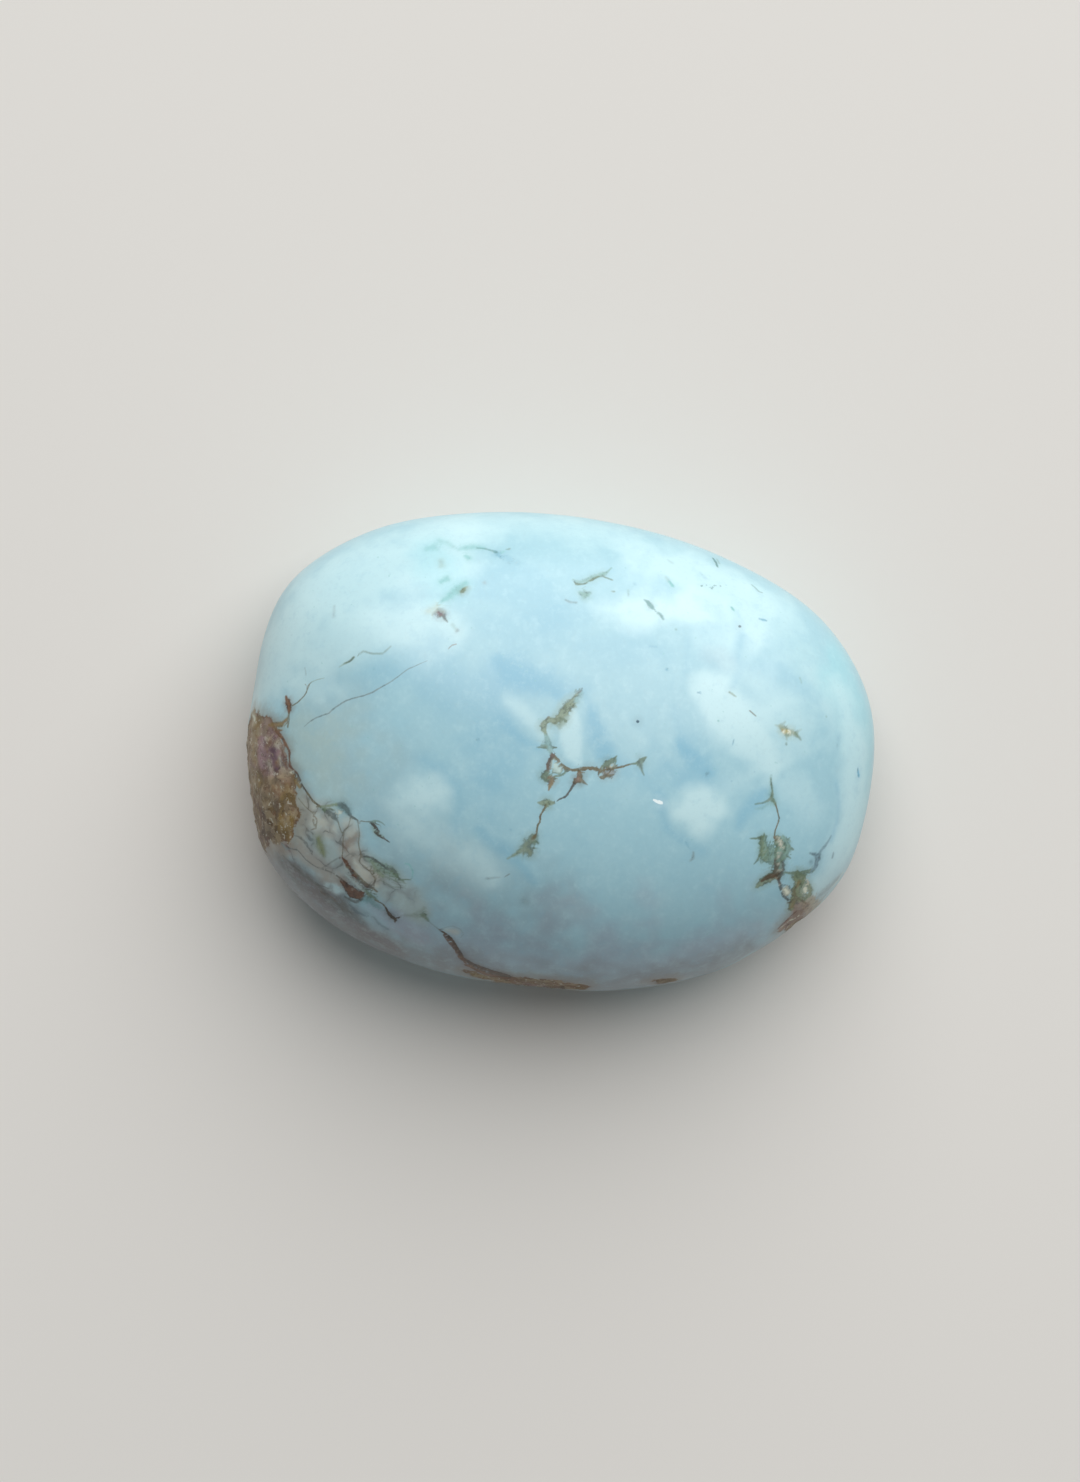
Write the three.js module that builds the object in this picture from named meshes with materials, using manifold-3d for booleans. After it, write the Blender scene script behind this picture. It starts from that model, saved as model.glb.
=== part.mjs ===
// A polished turquoise nugget, about 25 x 19 x 9.5 mm: one stone, domed above and rubbed flat underneath.
// Millimetres. +Z is up, +X runs along the stone's long axis, and z = 0 is the flat back that it rests on.
// The stone is a star-shaped body: its widest line, the girdle, follows a free-form oval, and from there
// the skin closes in over the dome and under the back along a superellipse.
import * as THREE from "three";
import { mergeVertices } from "three/addons/utils/BufferGeometryUtils.js";
import Module from "manifold-3d";

const wasm = await Module();
wasm.setup();

// Driving dimensions, in millimetres.
const THICKNESS = 9.4; // flat back to the top of the dome
const GIRDLE_HEIGHT = 3.3; // where the stone is widest
const BACK_DEPTH = 4.5; // how far under the girdle the skin would close, had the back not been rubbed flat
const DOME_FULLNESS = 2.15; // superellipse power: 2 is an ellipse, more is squarer in the shoulder
const STEEP_END_FULLNESS = 2.6; // the blunt left end stands steeper than the rest
const STEEP_END_ANGLE = THREE.MathUtils.degToRad(190); // the way it faces, round the girdle
const STEEP_END_SPREAD = THREE.MathUtils.degToRad(38);
const SKIN_DETAIL = 18; // how finely the skin is divided: 20 * (SKIN_DETAIL + 1)^2 triangles

// The girdle seen from above, anticlockwise from the right-hand end.
const GIRDLE_POINTS = [
  [12.5, 0.9],
  [11.9, 4.0],
  [9.5, 6.9],
  [4.9, 8.85],
  [0.0, 9.5],
  [-4.7, 9.1],
  [-8.8, 7.75],
  [-11.75, 5.1],
  [-12.5, 1.2],
  [-12.3, -2.4],
  [-11.1, -5.6],
  [-8.0, -8.05],
  [-2.9, -9.4],
  [3.1, -9.15],
  [8.1, -7.35],
  [11.6, -3.95],
];
const GIRDLE_STEPS = 720;
const HALF_LENGTH = 12.5;
const HALF_WIDTH = 9.5;

// Broad swells and rubbed flats that the hand left on the dome: the way each faces from the stone's heart,
// how wide it reaches as an angle, and how far it stands out (+) or in (-).
const SWELLS = [
  { faces: [-0.55, 0.1, 0.83], reach: 0.55, height: 0.22 },
  { faces: [0.5, 0.35, 0.79], reach: 0.5, height: -0.2 },
  { faces: [0.15, -0.6, 0.78], reach: 0.42, height: 0.16 },
  { faces: [-0.2, 0.75, 0.62], reach: 0.4, height: -0.14 },
  { faces: [0.85, -0.3, 0.42], reach: 0.36, height: 0.14 },
];

// Shallow natural pockets along the edge, where the softer brown matrix wore away: a point on the skin,
// the pocket's radius and its depth.
const POCKETS = [
  { at: [11.2, -4.1, 4.2], radius: 1.7, depth: 0.16 },
  { at: [10.2, -5.4, 3.8], radius: 1.9, depth: 0.2 },
  { at: [8.9, -6.6, 3.4], radius: 1.6, depth: 0.14 },
  { at: [-1.2, -9.3, 3.8], radius: 1.9, depth: 0.12 },
  { at: [0.8, -9.3, 3.6], radius: 1.7, depth: 0.14 },
  { at: [-12.3, 0.6, 4.4], radius: 1.8, depth: 0.14 },
  { at: [-12.0, -3.2, 4.6], radius: 2.0, depth: 0.16 },
];

// The girdle's radius at each angle round the stone, read from a smooth closed curve through its points.
function girdleRadii() {
  const curve = new THREE.CatmullRomCurve3(
    GIRDLE_POINTS.map(([x, y]) => new THREE.Vector3(x, y, 0)),
    true,
    "centripetal",
  );
  return curve
    .getPoints(GIRDLE_STEPS)
    .map((p) => ({ angle: turn(Math.atan2(p.y, p.x)), radius: Math.hypot(p.x, p.y) }))
    .sort((a, b) => a.angle - b.angle);
}

// An angle brought into 0 to 2 pi.
function turn(angle) {
  const full = 2 * Math.PI;
  return ((angle % full) + full) % full;
}

const RADII = girdleRadii();

function girdleRadius(angle) {
  const wanted = turn(angle);
  const found = RADII.findIndex((r) => r.angle >= wanted);
  const after = RADII[found < 0 ? 0 : found];
  const before = RADII[(found < 1 ? RADII.length : found) - 1];
  const gap = turn(after.angle - before.angle);
  const share = gap > 0 ? turn(wanted - before.angle) / gap : 0;
  return THREE.MathUtils.lerp(before.radius, after.radius, share);
}

// A bell that is 1 at the centre and falls to 0 a few spreads away.
function bell(distance, spread) {
  return Math.exp(-((distance / spread) ** 2));
}

function fullness(angle) {
  const away = Math.abs(turn(angle - STEEP_END_ANGLE + Math.PI) - Math.PI);
  return THREE.MathUtils.lerp(DOME_FULLNESS, STEEP_END_FULLNESS, bell(away, STEEP_END_SPREAD));
}

// The point of the skin that lies in a given direction from the stone's heart, at the girdle's height.
function skinPoint(direction) {
  const height = direction.z >= 0 ? THICKNESS - GIRDLE_HEIGHT : BACK_DEPTH;
  const point = new THREE.Vector3(direction.x * HALF_LENGTH, direction.y * HALF_WIDTH, direction.z * height);
  const angle = Math.atan2(point.y, point.x);
  const power = fullness(angle);
  const across = Math.hypot(point.x, point.y) / girdleRadius(angle);
  const along = Math.abs(direction.z);
  point.multiplyScalar((across ** power + along ** power) ** (-1 / power));
  const swell = SWELLS.reduce((sum, s) => {
    const facing = new THREE.Vector3(...s.faces).normalize();
    return sum + s.height * bell(facing.angleTo(direction), s.reach);
  }, 0);
  point.addScaledVector(point.clone().normalize(), swell);
  point.z += GIRDLE_HEIGHT;
  return pressPockets(point);
}

// A point moved in towards the stone's heart where a pocket dents the skin.
function pressPockets(point) {
  const inwards = new THREE.Vector3(-point.x, -point.y, GIRDLE_HEIGHT - point.z).normalize();
  const depth = POCKETS.reduce((sum, pocket) => {
    const near = 1 - point.distanceTo(new THREE.Vector3(...pocket.at)) / pocket.radius;
    return sum + (near > 0 ? pocket.depth * THREE.MathUtils.smoothstep(near, 0, 1) : 0);
  }, 0);
  return point.addScaledVector(inwards, depth);
}

// The whole rounded body, before its back is rubbed flat.
function roundedBody() {
  const geometry = new THREE.IcosahedronGeometry(1, SKIN_DETAIL);
  geometry.deleteAttribute("normal");
  geometry.deleteAttribute("uv");
  const body = mergeVertices(geometry, 1e-4);
  const position = body.getAttribute("position");
  for (let i = 0; i < position.count; i++) {
    const direction = new THREE.Vector3().fromBufferAttribute(position, i).normalize();
    const point = skinPoint(direction);
    position.setXYZ(i, point.x, point.y, point.z);
  }
  return body;
}

function solidOf(geometry) {
  return new wasm.Manifold(
    new wasm.Mesh({
      numProp: 3,
      vertProperties: new Float32Array(geometry.getAttribute("position").array),
      triVerts: new Uint32Array(geometry.index.array),
    }),
  );
}

function geometryOf(solid) {
  const mesh = solid.getMesh();
  const geometry = new THREE.BufferGeometry();
  geometry.setAttribute("position", new THREE.BufferAttribute(mesh.vertProperties, 3));
  geometry.setIndex(new THREE.BufferAttribute(mesh.triVerts, 1));
  return geometry;
}

// A block that holds everything under the plane of the flat back.
function wasteUnderBack() {
  const margin = 5;
  const block = new THREE.BoxGeometry(2 * HALF_LENGTH + margin, 2 * HALF_WIDTH + margin, margin);
  block.deleteAttribute("normal");
  block.deleteAttribute("uv");
  block.translate(0, 0, -margin / 2);
  return solidOf(mergeVertices(block, 1e-4));
}

// The finished stone, with its back on z = 0 and the middle of its outline at the origin.
function stoneGeometry() {
  const geometry = geometryOf(solidOf(roundedBody()).subtract(wasteUnderBack()));
  geometry.computeBoundingBox();
  const middle = geometry.boundingBox.getCenter(new THREE.Vector3());
  geometry.translate(-middle.x, -middle.y, 0);
  geometry.computeVertexNormals();
  return geometry;
}

const turquoise = new THREE.MeshStandardMaterial({ color: 0xafd4e0, roughness: 0.3, metalness: 0 });

const stone = new THREE.Mesh(stoneGeometry(), turquoise);
stone.name = "turquoise_stone";

const nugget = new THREE.Group();
nugget.add(stone);

export default nugget;
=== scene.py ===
# A polished turquoise nugget, alone on a pale studio floor, seen from straight above.
# Blender works in metres here. Sizes below are millimetres unless a comment says otherwise. The places of the
# markings are pixels of the photograph, read off, which photo_point turns into places on the stone.
import math

import bpy
import numpy as np
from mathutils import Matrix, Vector, noise
from mathutils.bvhtree import BVHTree
from mathutils.kdtree import KDTree


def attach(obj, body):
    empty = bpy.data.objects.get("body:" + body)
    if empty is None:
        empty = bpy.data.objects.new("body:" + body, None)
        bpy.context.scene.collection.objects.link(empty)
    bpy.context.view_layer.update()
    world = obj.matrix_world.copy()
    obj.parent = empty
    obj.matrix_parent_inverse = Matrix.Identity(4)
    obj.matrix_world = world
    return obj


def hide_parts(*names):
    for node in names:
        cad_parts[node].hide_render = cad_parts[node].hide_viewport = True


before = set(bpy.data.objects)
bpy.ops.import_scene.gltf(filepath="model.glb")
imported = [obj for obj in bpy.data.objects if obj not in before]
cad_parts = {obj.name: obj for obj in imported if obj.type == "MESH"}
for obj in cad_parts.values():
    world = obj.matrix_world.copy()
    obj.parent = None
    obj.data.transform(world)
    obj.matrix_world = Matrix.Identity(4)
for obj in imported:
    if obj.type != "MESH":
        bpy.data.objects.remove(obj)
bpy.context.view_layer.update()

MM = 0.001

# How the photograph sees the stone: its frame in pixels, the pixel over the middle of the stone's outline,
# the scale at the girdle, and the slope of the long axis, down to the right.
PHOTO_WIDTH = 1080
PHOTO_HEIGHT = 1482
MIDDLE_PIXEL = (559.7, 753.0)
PIXELS_PER_MM = 25.0
PHOTO_TURN = math.radians(8.0)
GIRDLE_HEIGHT = 3.3
EYE_HEIGHT = 170.0  # above the girdle

PHOTO_RIGHT = Vector((math.cos(PHOTO_TURN), math.sin(PHOTO_TURN), 0.0))
PHOTO_UP = Vector((-math.sin(PHOTO_TURN), math.cos(PHOTO_TURN), 0.0))
EYE_PIXEL = (PHOTO_WIDTH / 2, PHOTO_HEIGHT / 2)

# The stone's mesh.
WELD = 0.001
VOXEL = 0.126  # fine enough to place a marking of two or three pixels
SMOOTHING_ROUNDS = 90
SMOOTHING_FACTOR = 0.5

# The worn host rock: how much lower it lies at its lowest, how wide the slope down to it is, how wide its
# lumps and hollows are, and which share of the grit's range stays at the level of the skin.
WORN_DEPTH = 0.2
WORN_EDGE = 0.35
GRIT_WIDTH = 0.4
GRIT_DETAIL = 2
GRIT_LEVEL = 0.25

# How the markings are laid on the mesh.
VEIN_STEP = 0.15  # a vein follows the surface in steps of this length
VEIN_REACH = 0.55  # how far from a vein's edge its offset is still kept
MESH_SLACK = 0.07  # how much a distance can err between two corners of the mesh
FAR = 10.0
NO_VEIN_MARGIN = 1.0
NO_VEIN_SOFTNESS = 0.03
TINY = 1e-18  # keeps a chain of one bead from dividing by nothing
PATCH_WIDTH = 0.13  # a marking with a larger half width than this counts as a patch
PATCH_SOFTNESS = 0.055  # so does one with a softer edge than this

# How edges and veins wander. The second round of a wandering value is weaker and finer than the first.
FINER = 3.0
DRIFT_WIDTH = 1.6  # how wide the bays and bulges of a cloud's edge are
DRIFT_FINE_SHARE = 0.5
DRIFT_SHIFT = Vector((7, 3, 5))
DOME_SWING = 0.05  # how far a vein swings off its straight pieces on the upper side
BACK_SWING = 0.25  # the same on the underside, where its points lie further apart
SWING_WIDTH = 0.9  # how long such a swing is
SWING_FINE_SHARE = 0.4
SWING_SHIFT = Vector((4, 9, 2))
SWING_SEED = 5  # set before the first swing, so that every run lays the veins the same

# The net of hairlines: how wide its cells are and how they bend, how wide the gaps in its lines are, and
# between which distances from the edge of its area it fades. Round the host rock it reaches further, because
# only a share of the distance to the rock counts. A hairline's thickness, edge and haze are shares of a
# cell's width.
NET_CELL = 1.15
NET_BEND_WIDTH = 0.8
NET_BEND = 0.9
NET_GAP_WIDTH = 0.6
NET_FADE = (-0.35, 0.25)
NET_ROCK_SHARE = 0.45
HAIRLINE_THICKNESS = 0.03
HAIRLINE_EDGE = 0.012
HAIRLINE_HAZE = 0.22

# The host rock: how wide and how deep the frays of its edge are, between which distances from its frayed edge
# the rock and the stain round it fade, how wide its lumps are and how they bend.
FRAY_WIDTH = 0.55
FRAY_DEPTH = 1.1
ROCK_FADE = (0.46, 0.58)
STAIN_FADE = (0.5, 1.25)
LUMP_WIDTH = 0.4
LUMP_BEND_WIDTH = 0.35
LUMP_BEND = 0.5

# The veins: how wide their thorns are, how far these reach for each millimetre of half width and at most,
# how far the stain round a vein reaches, and how wide its patches of dark pigment and of ochre are.
THORN_WIDTH = 0.16
THORN_SHARE = 2.4
THORN_LIMIT = 0.42
VEIN_STAIN_REACH = 0.3
PIGMENT_WIDTH = 0.2
OCHRE_WIDTH = 0.4

# How rough each finish is, from 0 for a mirror to 1, and how high the matt rubbed back reaches.
POLISH = 0.3
VEIN_ROUGHER = 0.15
ROCK_ROUGHER = 0.3
BACK_ROUGHER = 0.3
BACK_HEIGHT = (0.03, 0.15)
TURQUOISE_IOR = 1.61
CARD_ROUGHNESS = 0.9

# The studio, in metres, degrees and watts. The azimuth is counted from the photograph's top to its right.
FLOOR_SIZE = 4.0
FLOOR_DROP = 0.00002
KEY_AZIMUTH = 18
KEY_ELEVATION = 44
KEY_DISTANCE = 0.5
KEY_SIZE = 0.8
KEY_WATTS = 4.15
ROOM_BRIGHTNESS = 0.22
SENSOR_WIDTH = 36.0  # millimetres
CLIP_NEAR = 0.01
CLIP_FAR = 10.0

# Tints of the markings, as the pigment would look under even white light. The white of the small glint is a
# painted highlight, and smoke, lilac, ash, slate and umber also lay painted shade near the lower and lower
# left edges.
TINTS = {
    "body": "#a4ced9",
    "milk": "#c8e8ec",
    "deep": "#90c1d3",
    "sky": "#7fb8cf",
    "azure": "#5aa8c9",
    "aqua": "#a0d6df",
    "mist": "#a0c0c8",
    "sage": "#b3cac5",
    "lilac": "#a3aebd",
    "chalk": "#adbfbd",
    "putty": "#adaba2",
    "smoke": "#777b80",
    "ash": "#6e6a6d",
    "slate": "#565e5a",
    "khaki": "#85765e",
    "tan": "#9f8a70",
    "mauve": "#a08489",
    "plum": "#5f4456",
    "golden": "#8c7440",
    "lichen": "#7f8a60",
    "umber": "#54422f",
    "sand": "#a99b7f",
    "bone": "#cccaba",
    "cream": "#dfe3cf",
    # Painted highlight: the white of a small glint.
    "glint_white": "#f4ffff",
    "brown": "#6c6447",
    "dark": "#453c30",
    "rust": "#7b573c",
    "sienna": "#6a4a36",
    "olive": "#8a9c84",
    "moss": "#697d65",
    "fern": "#7f9d8a",
    "pine": "#4f8583",
    "verdigris": "#83aba4",
    "tealgrey": "#7794a0",
    "cell": "#bed8d2",
    "teal": "#86c0c0",
    "blue": "#83b6c9",
    "grey": "#83979a",
    "navy": "#2f5668",
    "pink": "#8f7a6b",
    "gold": "#b8a45c",
}

# Cloud patterns in the blue and in the rock: how wide their patches are, their detail, their roughness and a
# shift that makes each its own. Each mark is a tint, where in the pattern's range from 0 to 1 it starts and
# where it is full, which may be the smaller value, and how strongly it then covers.
WISPS = (1.9, 4.0, 0.55, 0.0, [("milk", 0.5, 0.75, 0.2), ("deep", 0.48, 0.25, 0.2)])
CURDS = (0.45, 4.0, 0.65, 2.0, [("milk", 0.5, 0.7, 0.2), ("deep", 0.48, 0.3, 0.2)])
FLECKS = (0.16, 1.0, 0.5, 5.0, [("teal", 0.72, 0.8, 0.35)])
CHALKY_GRAIN = (0.16, 3.0, 0.6, 9.0, [("milk", 0.5, 0.7, 0.1), ("mist", 0.48, 0.34, 0.1)])
ROCK_BANDS = (1.3, 3.0, 0.6, 13.0, [("mauve", 0.52, 0.7, 0.5), ("golden", 0.48, 0.32, 0.5)])
ROCK_MOTTLE = (0.3, 4.0, 0.7, 6.0, [("sand", 0.52, 0.66, 0.5), ("umber", 0.47, 0.34, 0.55)])
ROCK_SEAMS = (0.5, 3.0, 0.6, 11.0, [("rust", 0.56, 0.68, 0.5)])
ROCK_GRAINS = (0.13, 1.0, 0.5, 8.0, [("bone", 0.62, 0.7, 0.6), ("dark", 0.33, 0.27, 0.6)])


def photo_point(px, py):
    """The place on the plane of the girdle that a pixel of the photograph shows, in metres."""
    right = (px - MIDDLE_PIXEL[0]) / PIXELS_PER_MM
    up = (MIDDLE_PIXEL[1] - py) / PIXELS_PER_MM
    return (PHOTO_RIGHT * right + PHOTO_UP * up + Vector((0, 0, GIRDLE_HEIGHT))) * MM


EYE = photo_point(*EYE_PIXEL) + Vector((0, 0, EYE_HEIGHT * MM))


def linear(hex_colour):
    """An sRGB colour such as #8f9b82 as linear red, green and blue."""
    shares = [int(hex_colour[i : i + 2], 16) / 255 for i in (1, 3, 5)]
    return [s / 12.92 if s <= 0.04045 else ((s + 0.055) / 1.055) ** 2.4 for s in shares]


# The matrix veins of the upper side. A vein is its tint, how strongly it covers the stone, how soft its
# edge is in millimetres, and its points: pixel right, pixel down, half width in millimetres.
VEINS = [
    # The olive stem at the top of the branching vein in the middle.
    ("olive", 0.9, 0.05, [(581, 691, 0.04), (577, 697, 0.1), (573, 702, 0.16), (568, 706, 0.19)]),
    ("verdigris", 0.5, 0.1, [(582, 693, 0.06), (576, 700, 0.14)]),
    ("olive", 0.95, 0.05, [(568, 706, 0.19), (565, 711, 0.19), (561, 717, 0.18), (556, 721, 0.12)]),
    ("olive", 0.6, 0.08, [(566, 718, 0.12), (560, 726, 0.1), (556, 724, 0.05)]),
    ("olive", 0.9, 0.04, [(556, 721, 0.12), (549, 719, 0.09), (543, 726, 0.11), (546, 733, 0.06)]),
    ("brown", 0.85, 0.03, [(549, 716, 0.04), (543, 725, 0.06), (544, 731, 0.04)]),
    ("verdigris", 0.65, 0.05, [(546, 733, 0.05), (547, 740, 0.12), (549, 747, 0.1), (550, 753, 0.05)]),
    ("slate", 0.7, 0.03, [(578, 694, 0.03), (582, 690, 0.045), (582.5, 688, 0.02)]),
    ("moss", 0.6, 0.03, [(575, 693, 0.02), (577, 690, 0.03)]),
    ("moss", 0.75, 0.03, [(566, 721, 0.05), (562, 717, 0.04), (559, 721, 0.03)]),
    ("moss", 0.6, 0.03, [(569, 703, 0.03), (564, 708, 0.05)]),
    ("moss", 0.55, 0.03, [(575, 704, 0.04), (571, 709, 0.03)]),
    ("olive", 0.7, 0.03, [(577, 707, 0.02), (570, 704, 0.08)]),
    ("moss", 0.85, 0.03, [(537, 747, 0.03), (546, 747, 0.06), (556, 747, 0.03)]),
    # The triangle, with its orange blob below.
    ("umber", 0.9, 0.025, [
        (550, 752, 0.03), (553, 755, 0.055), (549, 760, 0.07), (548, 766, 0.07), (549, 771, 0.05),
    ]),
    ("brown", 0.9, 0.025, [
        (553, 755, 0.05), (557, 759, 0.06), (560, 764, 0.06), (565, 768, 0.065), (571, 770, 0.05),
    ]),
    ("moss", 0.8, 0.025, [(566, 770, 0.04), (563, 774, 0.05), (557, 776, 0.045), (552, 775, 0.03)]),
    ("moss", 0.9, 0.04, [(549, 771, 0.06), (545, 776, 0.13), (548, 780, 0.1)]),
    ("golden", 0.85, 0.03, [(549, 778, 0.08), (552, 781, 0.12), (549, 788, 0.05), (548, 791, 0.02)]),
    ("umber", 0.8, 0.03, [(548, 780, 0.06), (550.5, 783, 0.07), (549, 788, 0.04)]),
    ("cell", 0.95, 0.03, [(554, 763, 0.05), (556, 769, 0.11), (560, 771, 0.06)]),
    # The arm to the right, with its thorny knot and its forked tip.
    ("brown", 0.95, 0.025, [
        (571, 770, 0.05), (578, 770, 0.05), (586, 768, 0.08), (594, 768, 0.07), (600, 770, 0.055),
    ]),
    ("brown", 0.95, 0.025, [
        (600, 770, 0.05), (608, 769, 0.06), (616, 768, 0.045), (623, 767, 0.04), (631, 764, 0.025),
    ]),
    ("moss", 0.85, 0.03, [(631, 764, 0.03), (638, 763, 0.05), (642, 760, 0.1), (647, 757, 0.02)]),
    ("moss", 0.75, 0.04, [(642, 761, 0.08), (641, 766, 0.08), (642, 772, 0.04), (644, 776, 0.02)]),
    ("brown", 0.7, 0.02, [(579, 764, 0.01), (580, 769, 0.03)]),
    ("moss", 0.9, 0.03, [(603, 766, 0.06), (608, 763, 0.12), (613, 760, 0.07), (617, 756, 0.02)]),
    ("moss", 0.85, 0.025, [(617, 758, 0.01), (615, 765, 0.04), (614, 768, 0.04)]),
    ("brown", 0.9, 0.025, [(599, 771, 0.04), (599, 775, 0.04), (603, 778, 0.05), (608, 776, 0.05)]),
    ("pink", 0.55, 0.04, [(606, 773, 0.13), (612, 773, 0.15)]),
    ("brown", 0.8, 0.02, [(603, 772, 0.02), (607, 775, 0.03), (614, 775, 0.03)]),
    ("brown", 0.85, 0.02, [(611, 776, 0.04), (612, 779, 0.01)]),
    ("gold", 0.9, 0.02, [(602, 777.5, 0.035)]),
    ("cream", 0.9, 0.02, [(612.5, 764, 0.035)]),
    # The lower branch.
    ("brown", 0.9, 0.025, [(579, 770, 0.05), (580, 776, 0.1), (579, 780, 0.15), (575, 783, 0.08)]),
    ("pink", 0.85, 0.03, [(579, 779, 0.1)]),
    ("brown", 0.8, 0.03, [(581, 780, 0.1), (588, 785, 0.02)]),
    ("dark", 0.85, 0.022, [
        (575, 783, 0.06), (571, 790, 0.038), (566, 797, 0.038), (560, 799, 0.028), (556, 802, 0.015),
    ]),
    ("olive", 0.9, 0.04, [(554, 803, 0.04), (546, 803, 0.15), (538, 802, 0.03)]),
    ("olive", 0.75, 0.03, [(547, 805, 0.08), (549, 799, 0.02)]),
    ("brown", 0.9, 0.022, [
        (546, 805, 0.05), (543, 811, 0.034), (540, 816, 0.04), (540, 821, 0.032), (537, 826, 0.036),
    ]),
    ("brown", 0.9, 0.022, [(537, 826, 0.035), (536, 834, 0.035), (533, 838, 0.07)]),
    ("lichen", 0.65, 0.05, [(533, 837, 0.14), (529, 842, 0.18), (526, 848, 0.15), (530, 853, 0.16)]),
    ("umber", 0.15, 0.04, [(532, 838, 0.06), (527, 846, 0.1), (530, 852, 0.11)]),
    ("moss", 0.6, 0.03, [(534, 838, 0.05), (531, 843, 0.05)]),
    ("moss", 0.6, 0.06, [(536, 835, 0.08), (537, 843, 0.06)]),
    ("olive", 0.85, 0.06, [(527, 848, 0.1), (521, 852, 0.1), (515, 856, 0.06), (508, 859, 0.02)]),
    ("moss", 0.7, 0.02, [(534, 839, 0.04), (538, 843, 0.03)]),
    # The cluster at the upper left: teal haze, a teal line and two dark spots.
    ("teal", 0.45, 0.12, [(427, 549, 0.1), (433, 547, 0.14), (437, 550, 0.06)]),
    ("teal", 0.4, 0.12, [(439, 541, 0.1), (446, 543, 0.1), (453, 547, 0.08)]),
    ("teal", 0.6, 0.12, [(459, 550, 0.05), (466, 548, 0.12), (474, 547, 0.13), (483, 548, 0.08)]),
    ("pine", 0.6, 0.045, [(477, 548.5, 0.02), (483, 548.5, 0.04), (490, 550, 0.045), (496, 552.5, 0.06)]),
    ("blue", 0.85, 0.08, [(495, 552, 0.06), (498, 554.5, 0.12), (500, 557, 0.06)]),
    ("teal", 0.6, 0.06, [(499, 554, 0.05), (504, 551, 0.04)]),
    ("moss", 0.6, 0.04, [(507, 549.5, 0.04), (510, 548.5, 0.04)]),
    ("blue", 0.4, 0.12, [(503, 555, 0.08), (510, 561, 0.16), (517, 563, 0.1)]),
    ("teal", 0.7, 0.09, [(466, 556, 0.06), (469, 558, 0.1)]),
    ("olive", 0.3, 0.12, [(441, 560, 0.08), (442, 565, 0.1)]),
    ("teal", 0.75, 0.09, [(442, 582, 0.09), (447, 579, 0.12)]),
    ("teal", 0.8, 0.1, [(442, 602, 0.05), (450, 596, 0.13), (458, 589, 0.16), (466, 583, 0.08)]),
    ("lichen", 0.8, 0.08, [(461, 590, 0.08), (464, 588, 0.1)]),
    ("moss", 0.95, 0.05, [(462, 591, 0.09), (463.5, 589, 0.07)]),
    ("brown", 0.55, 0.12, [(438, 610, 0.12), (441, 613, 0.16)]),
    ("smoke", 0.95, 0.07, [(438, 610, 0.08), (440, 613, 0.16), (443, 614, 0.1)]),
    ("plum", 0.75, 0.04, [(439, 612, 0.05), (441, 614, 0.07)]),
    ("slate", 0.75, 0.04, [(442, 615, 0.06), (444.5, 618.5, 0.055), (446.5, 622, 0.03)]),
    ("verdigris", 0.35, 0.07, [(452, 625, 0.06), (456, 629, 0.05)]),
    ("grey", 0.6, 0.06, [(457.5, 630, 0.07)]),
    ("gold", 0.2, 0.12, [(428, 611, 0.1), (436, 607, 0.12)]),
    ("pink", 0.6, 0.02, [(448, 649, 0.02), (451, 646, 0.03), (457, 644, 0.02)]),
    ("pink", 0.25, 0.1, [(484, 583, 0.06)]),
    # The green spray near the top, and its small neighbours.
    ("verdigris", 0.75, 0.07, [
        (573, 580, 0.03), (579, 583, 0.07), (588, 580, 0.09), (597, 576, 0.1), (604, 573, 0.08),
    ]),
    ("moss", 0.8, 0.03, [(574, 582, 0.02), (577, 585, 0.05), (583, 584.5, 0.04), (587, 583, 0.03)]),
    ("moss", 0.85, 0.035, [(590, 581, 0.04), (593, 579.5, 0.06), (597, 577, 0.04), (602, 575, 0.025)]),
    ("verdigris", 0.8, 0.04, [(602, 575, 0.05), (606, 572, 0.04), (611, 567, 0.025)]),
    ("moss", 0.7, 0.03, [(603, 576, 0.03), (607, 577.5, 0.04), (612, 579.5, 0.03)]),
    ("verdigris", 0.85, 0.08, [(581, 593, 0.08), (585, 595, 0.14), (589, 593, 0.07)]),
    ("verdigris", 0.6, 0.05, [(584, 590, 0.04), (586, 594, 0.08)]),
    ("grey", 0.6, 0.05, [(566, 600, 0.04), (571, 602, 0.04), (577, 602, 0.03)]),
    ("moss", 0.6, 0.03, [(612, 591.5, 0.04), (615, 591.5, 0.03)]),
    # The small spot with a yellow heart, to the right.
    ("olive", 0.8, 0.06, [
        (779, 726, 0.05), (783, 729, 0.11), (788, 732, 0.14), (793, 732, 0.1), (798, 736, 0.06),
    ]),
    ("moss", 0.6, 0.05, [(796, 733, 0.04), (799, 737, 0.05), (801, 740, 0.03)]),
    ("olive", 0.45, 0.06, [(776, 725, 0.03), (781, 727, 0.06), (785, 722, 0.03)]),
    ("olive", 0.4, 0.06, [(796, 732, 0.04), (801, 730, 0.03)]),
    ("olive", 0.5, 0.05, [(787, 735, 0.05), (787, 739, 0.03)]),
    ("moss", 0.5, 0.05, [(786.5, 744, 0.04)]),
    ("gold", 0.6, 0.05, [(783, 730, 0.07), (790, 732, 0.07)]),
    ("cream", 0.95, 0.04, [(784, 731, 0.08), (790, 732, 0.08)]),
    # The rust spot, the twig and the hairlines on the left.
    ("rust", 0.95, 0.04, [(286, 697, 0.05), (288, 702, 0.12), (289, 708, 0.14), (289, 712, 0.06)]),
    ("brown", 0.75, 0.025, [(289, 712, 0.035), (289, 720, 0.035), (288, 727, 0.04)]),
    ("brown", 0.8, 0.022, [
        (291, 707, 0.03), (297, 703, 0.03), (302, 698, 0.02), (306, 694, 0.025), (310, 684, 0.025),
    ]),
    ("brown", 0.6, 0.02, [(305, 684, 0.015), (308, 687, 0.02)]),
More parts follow.
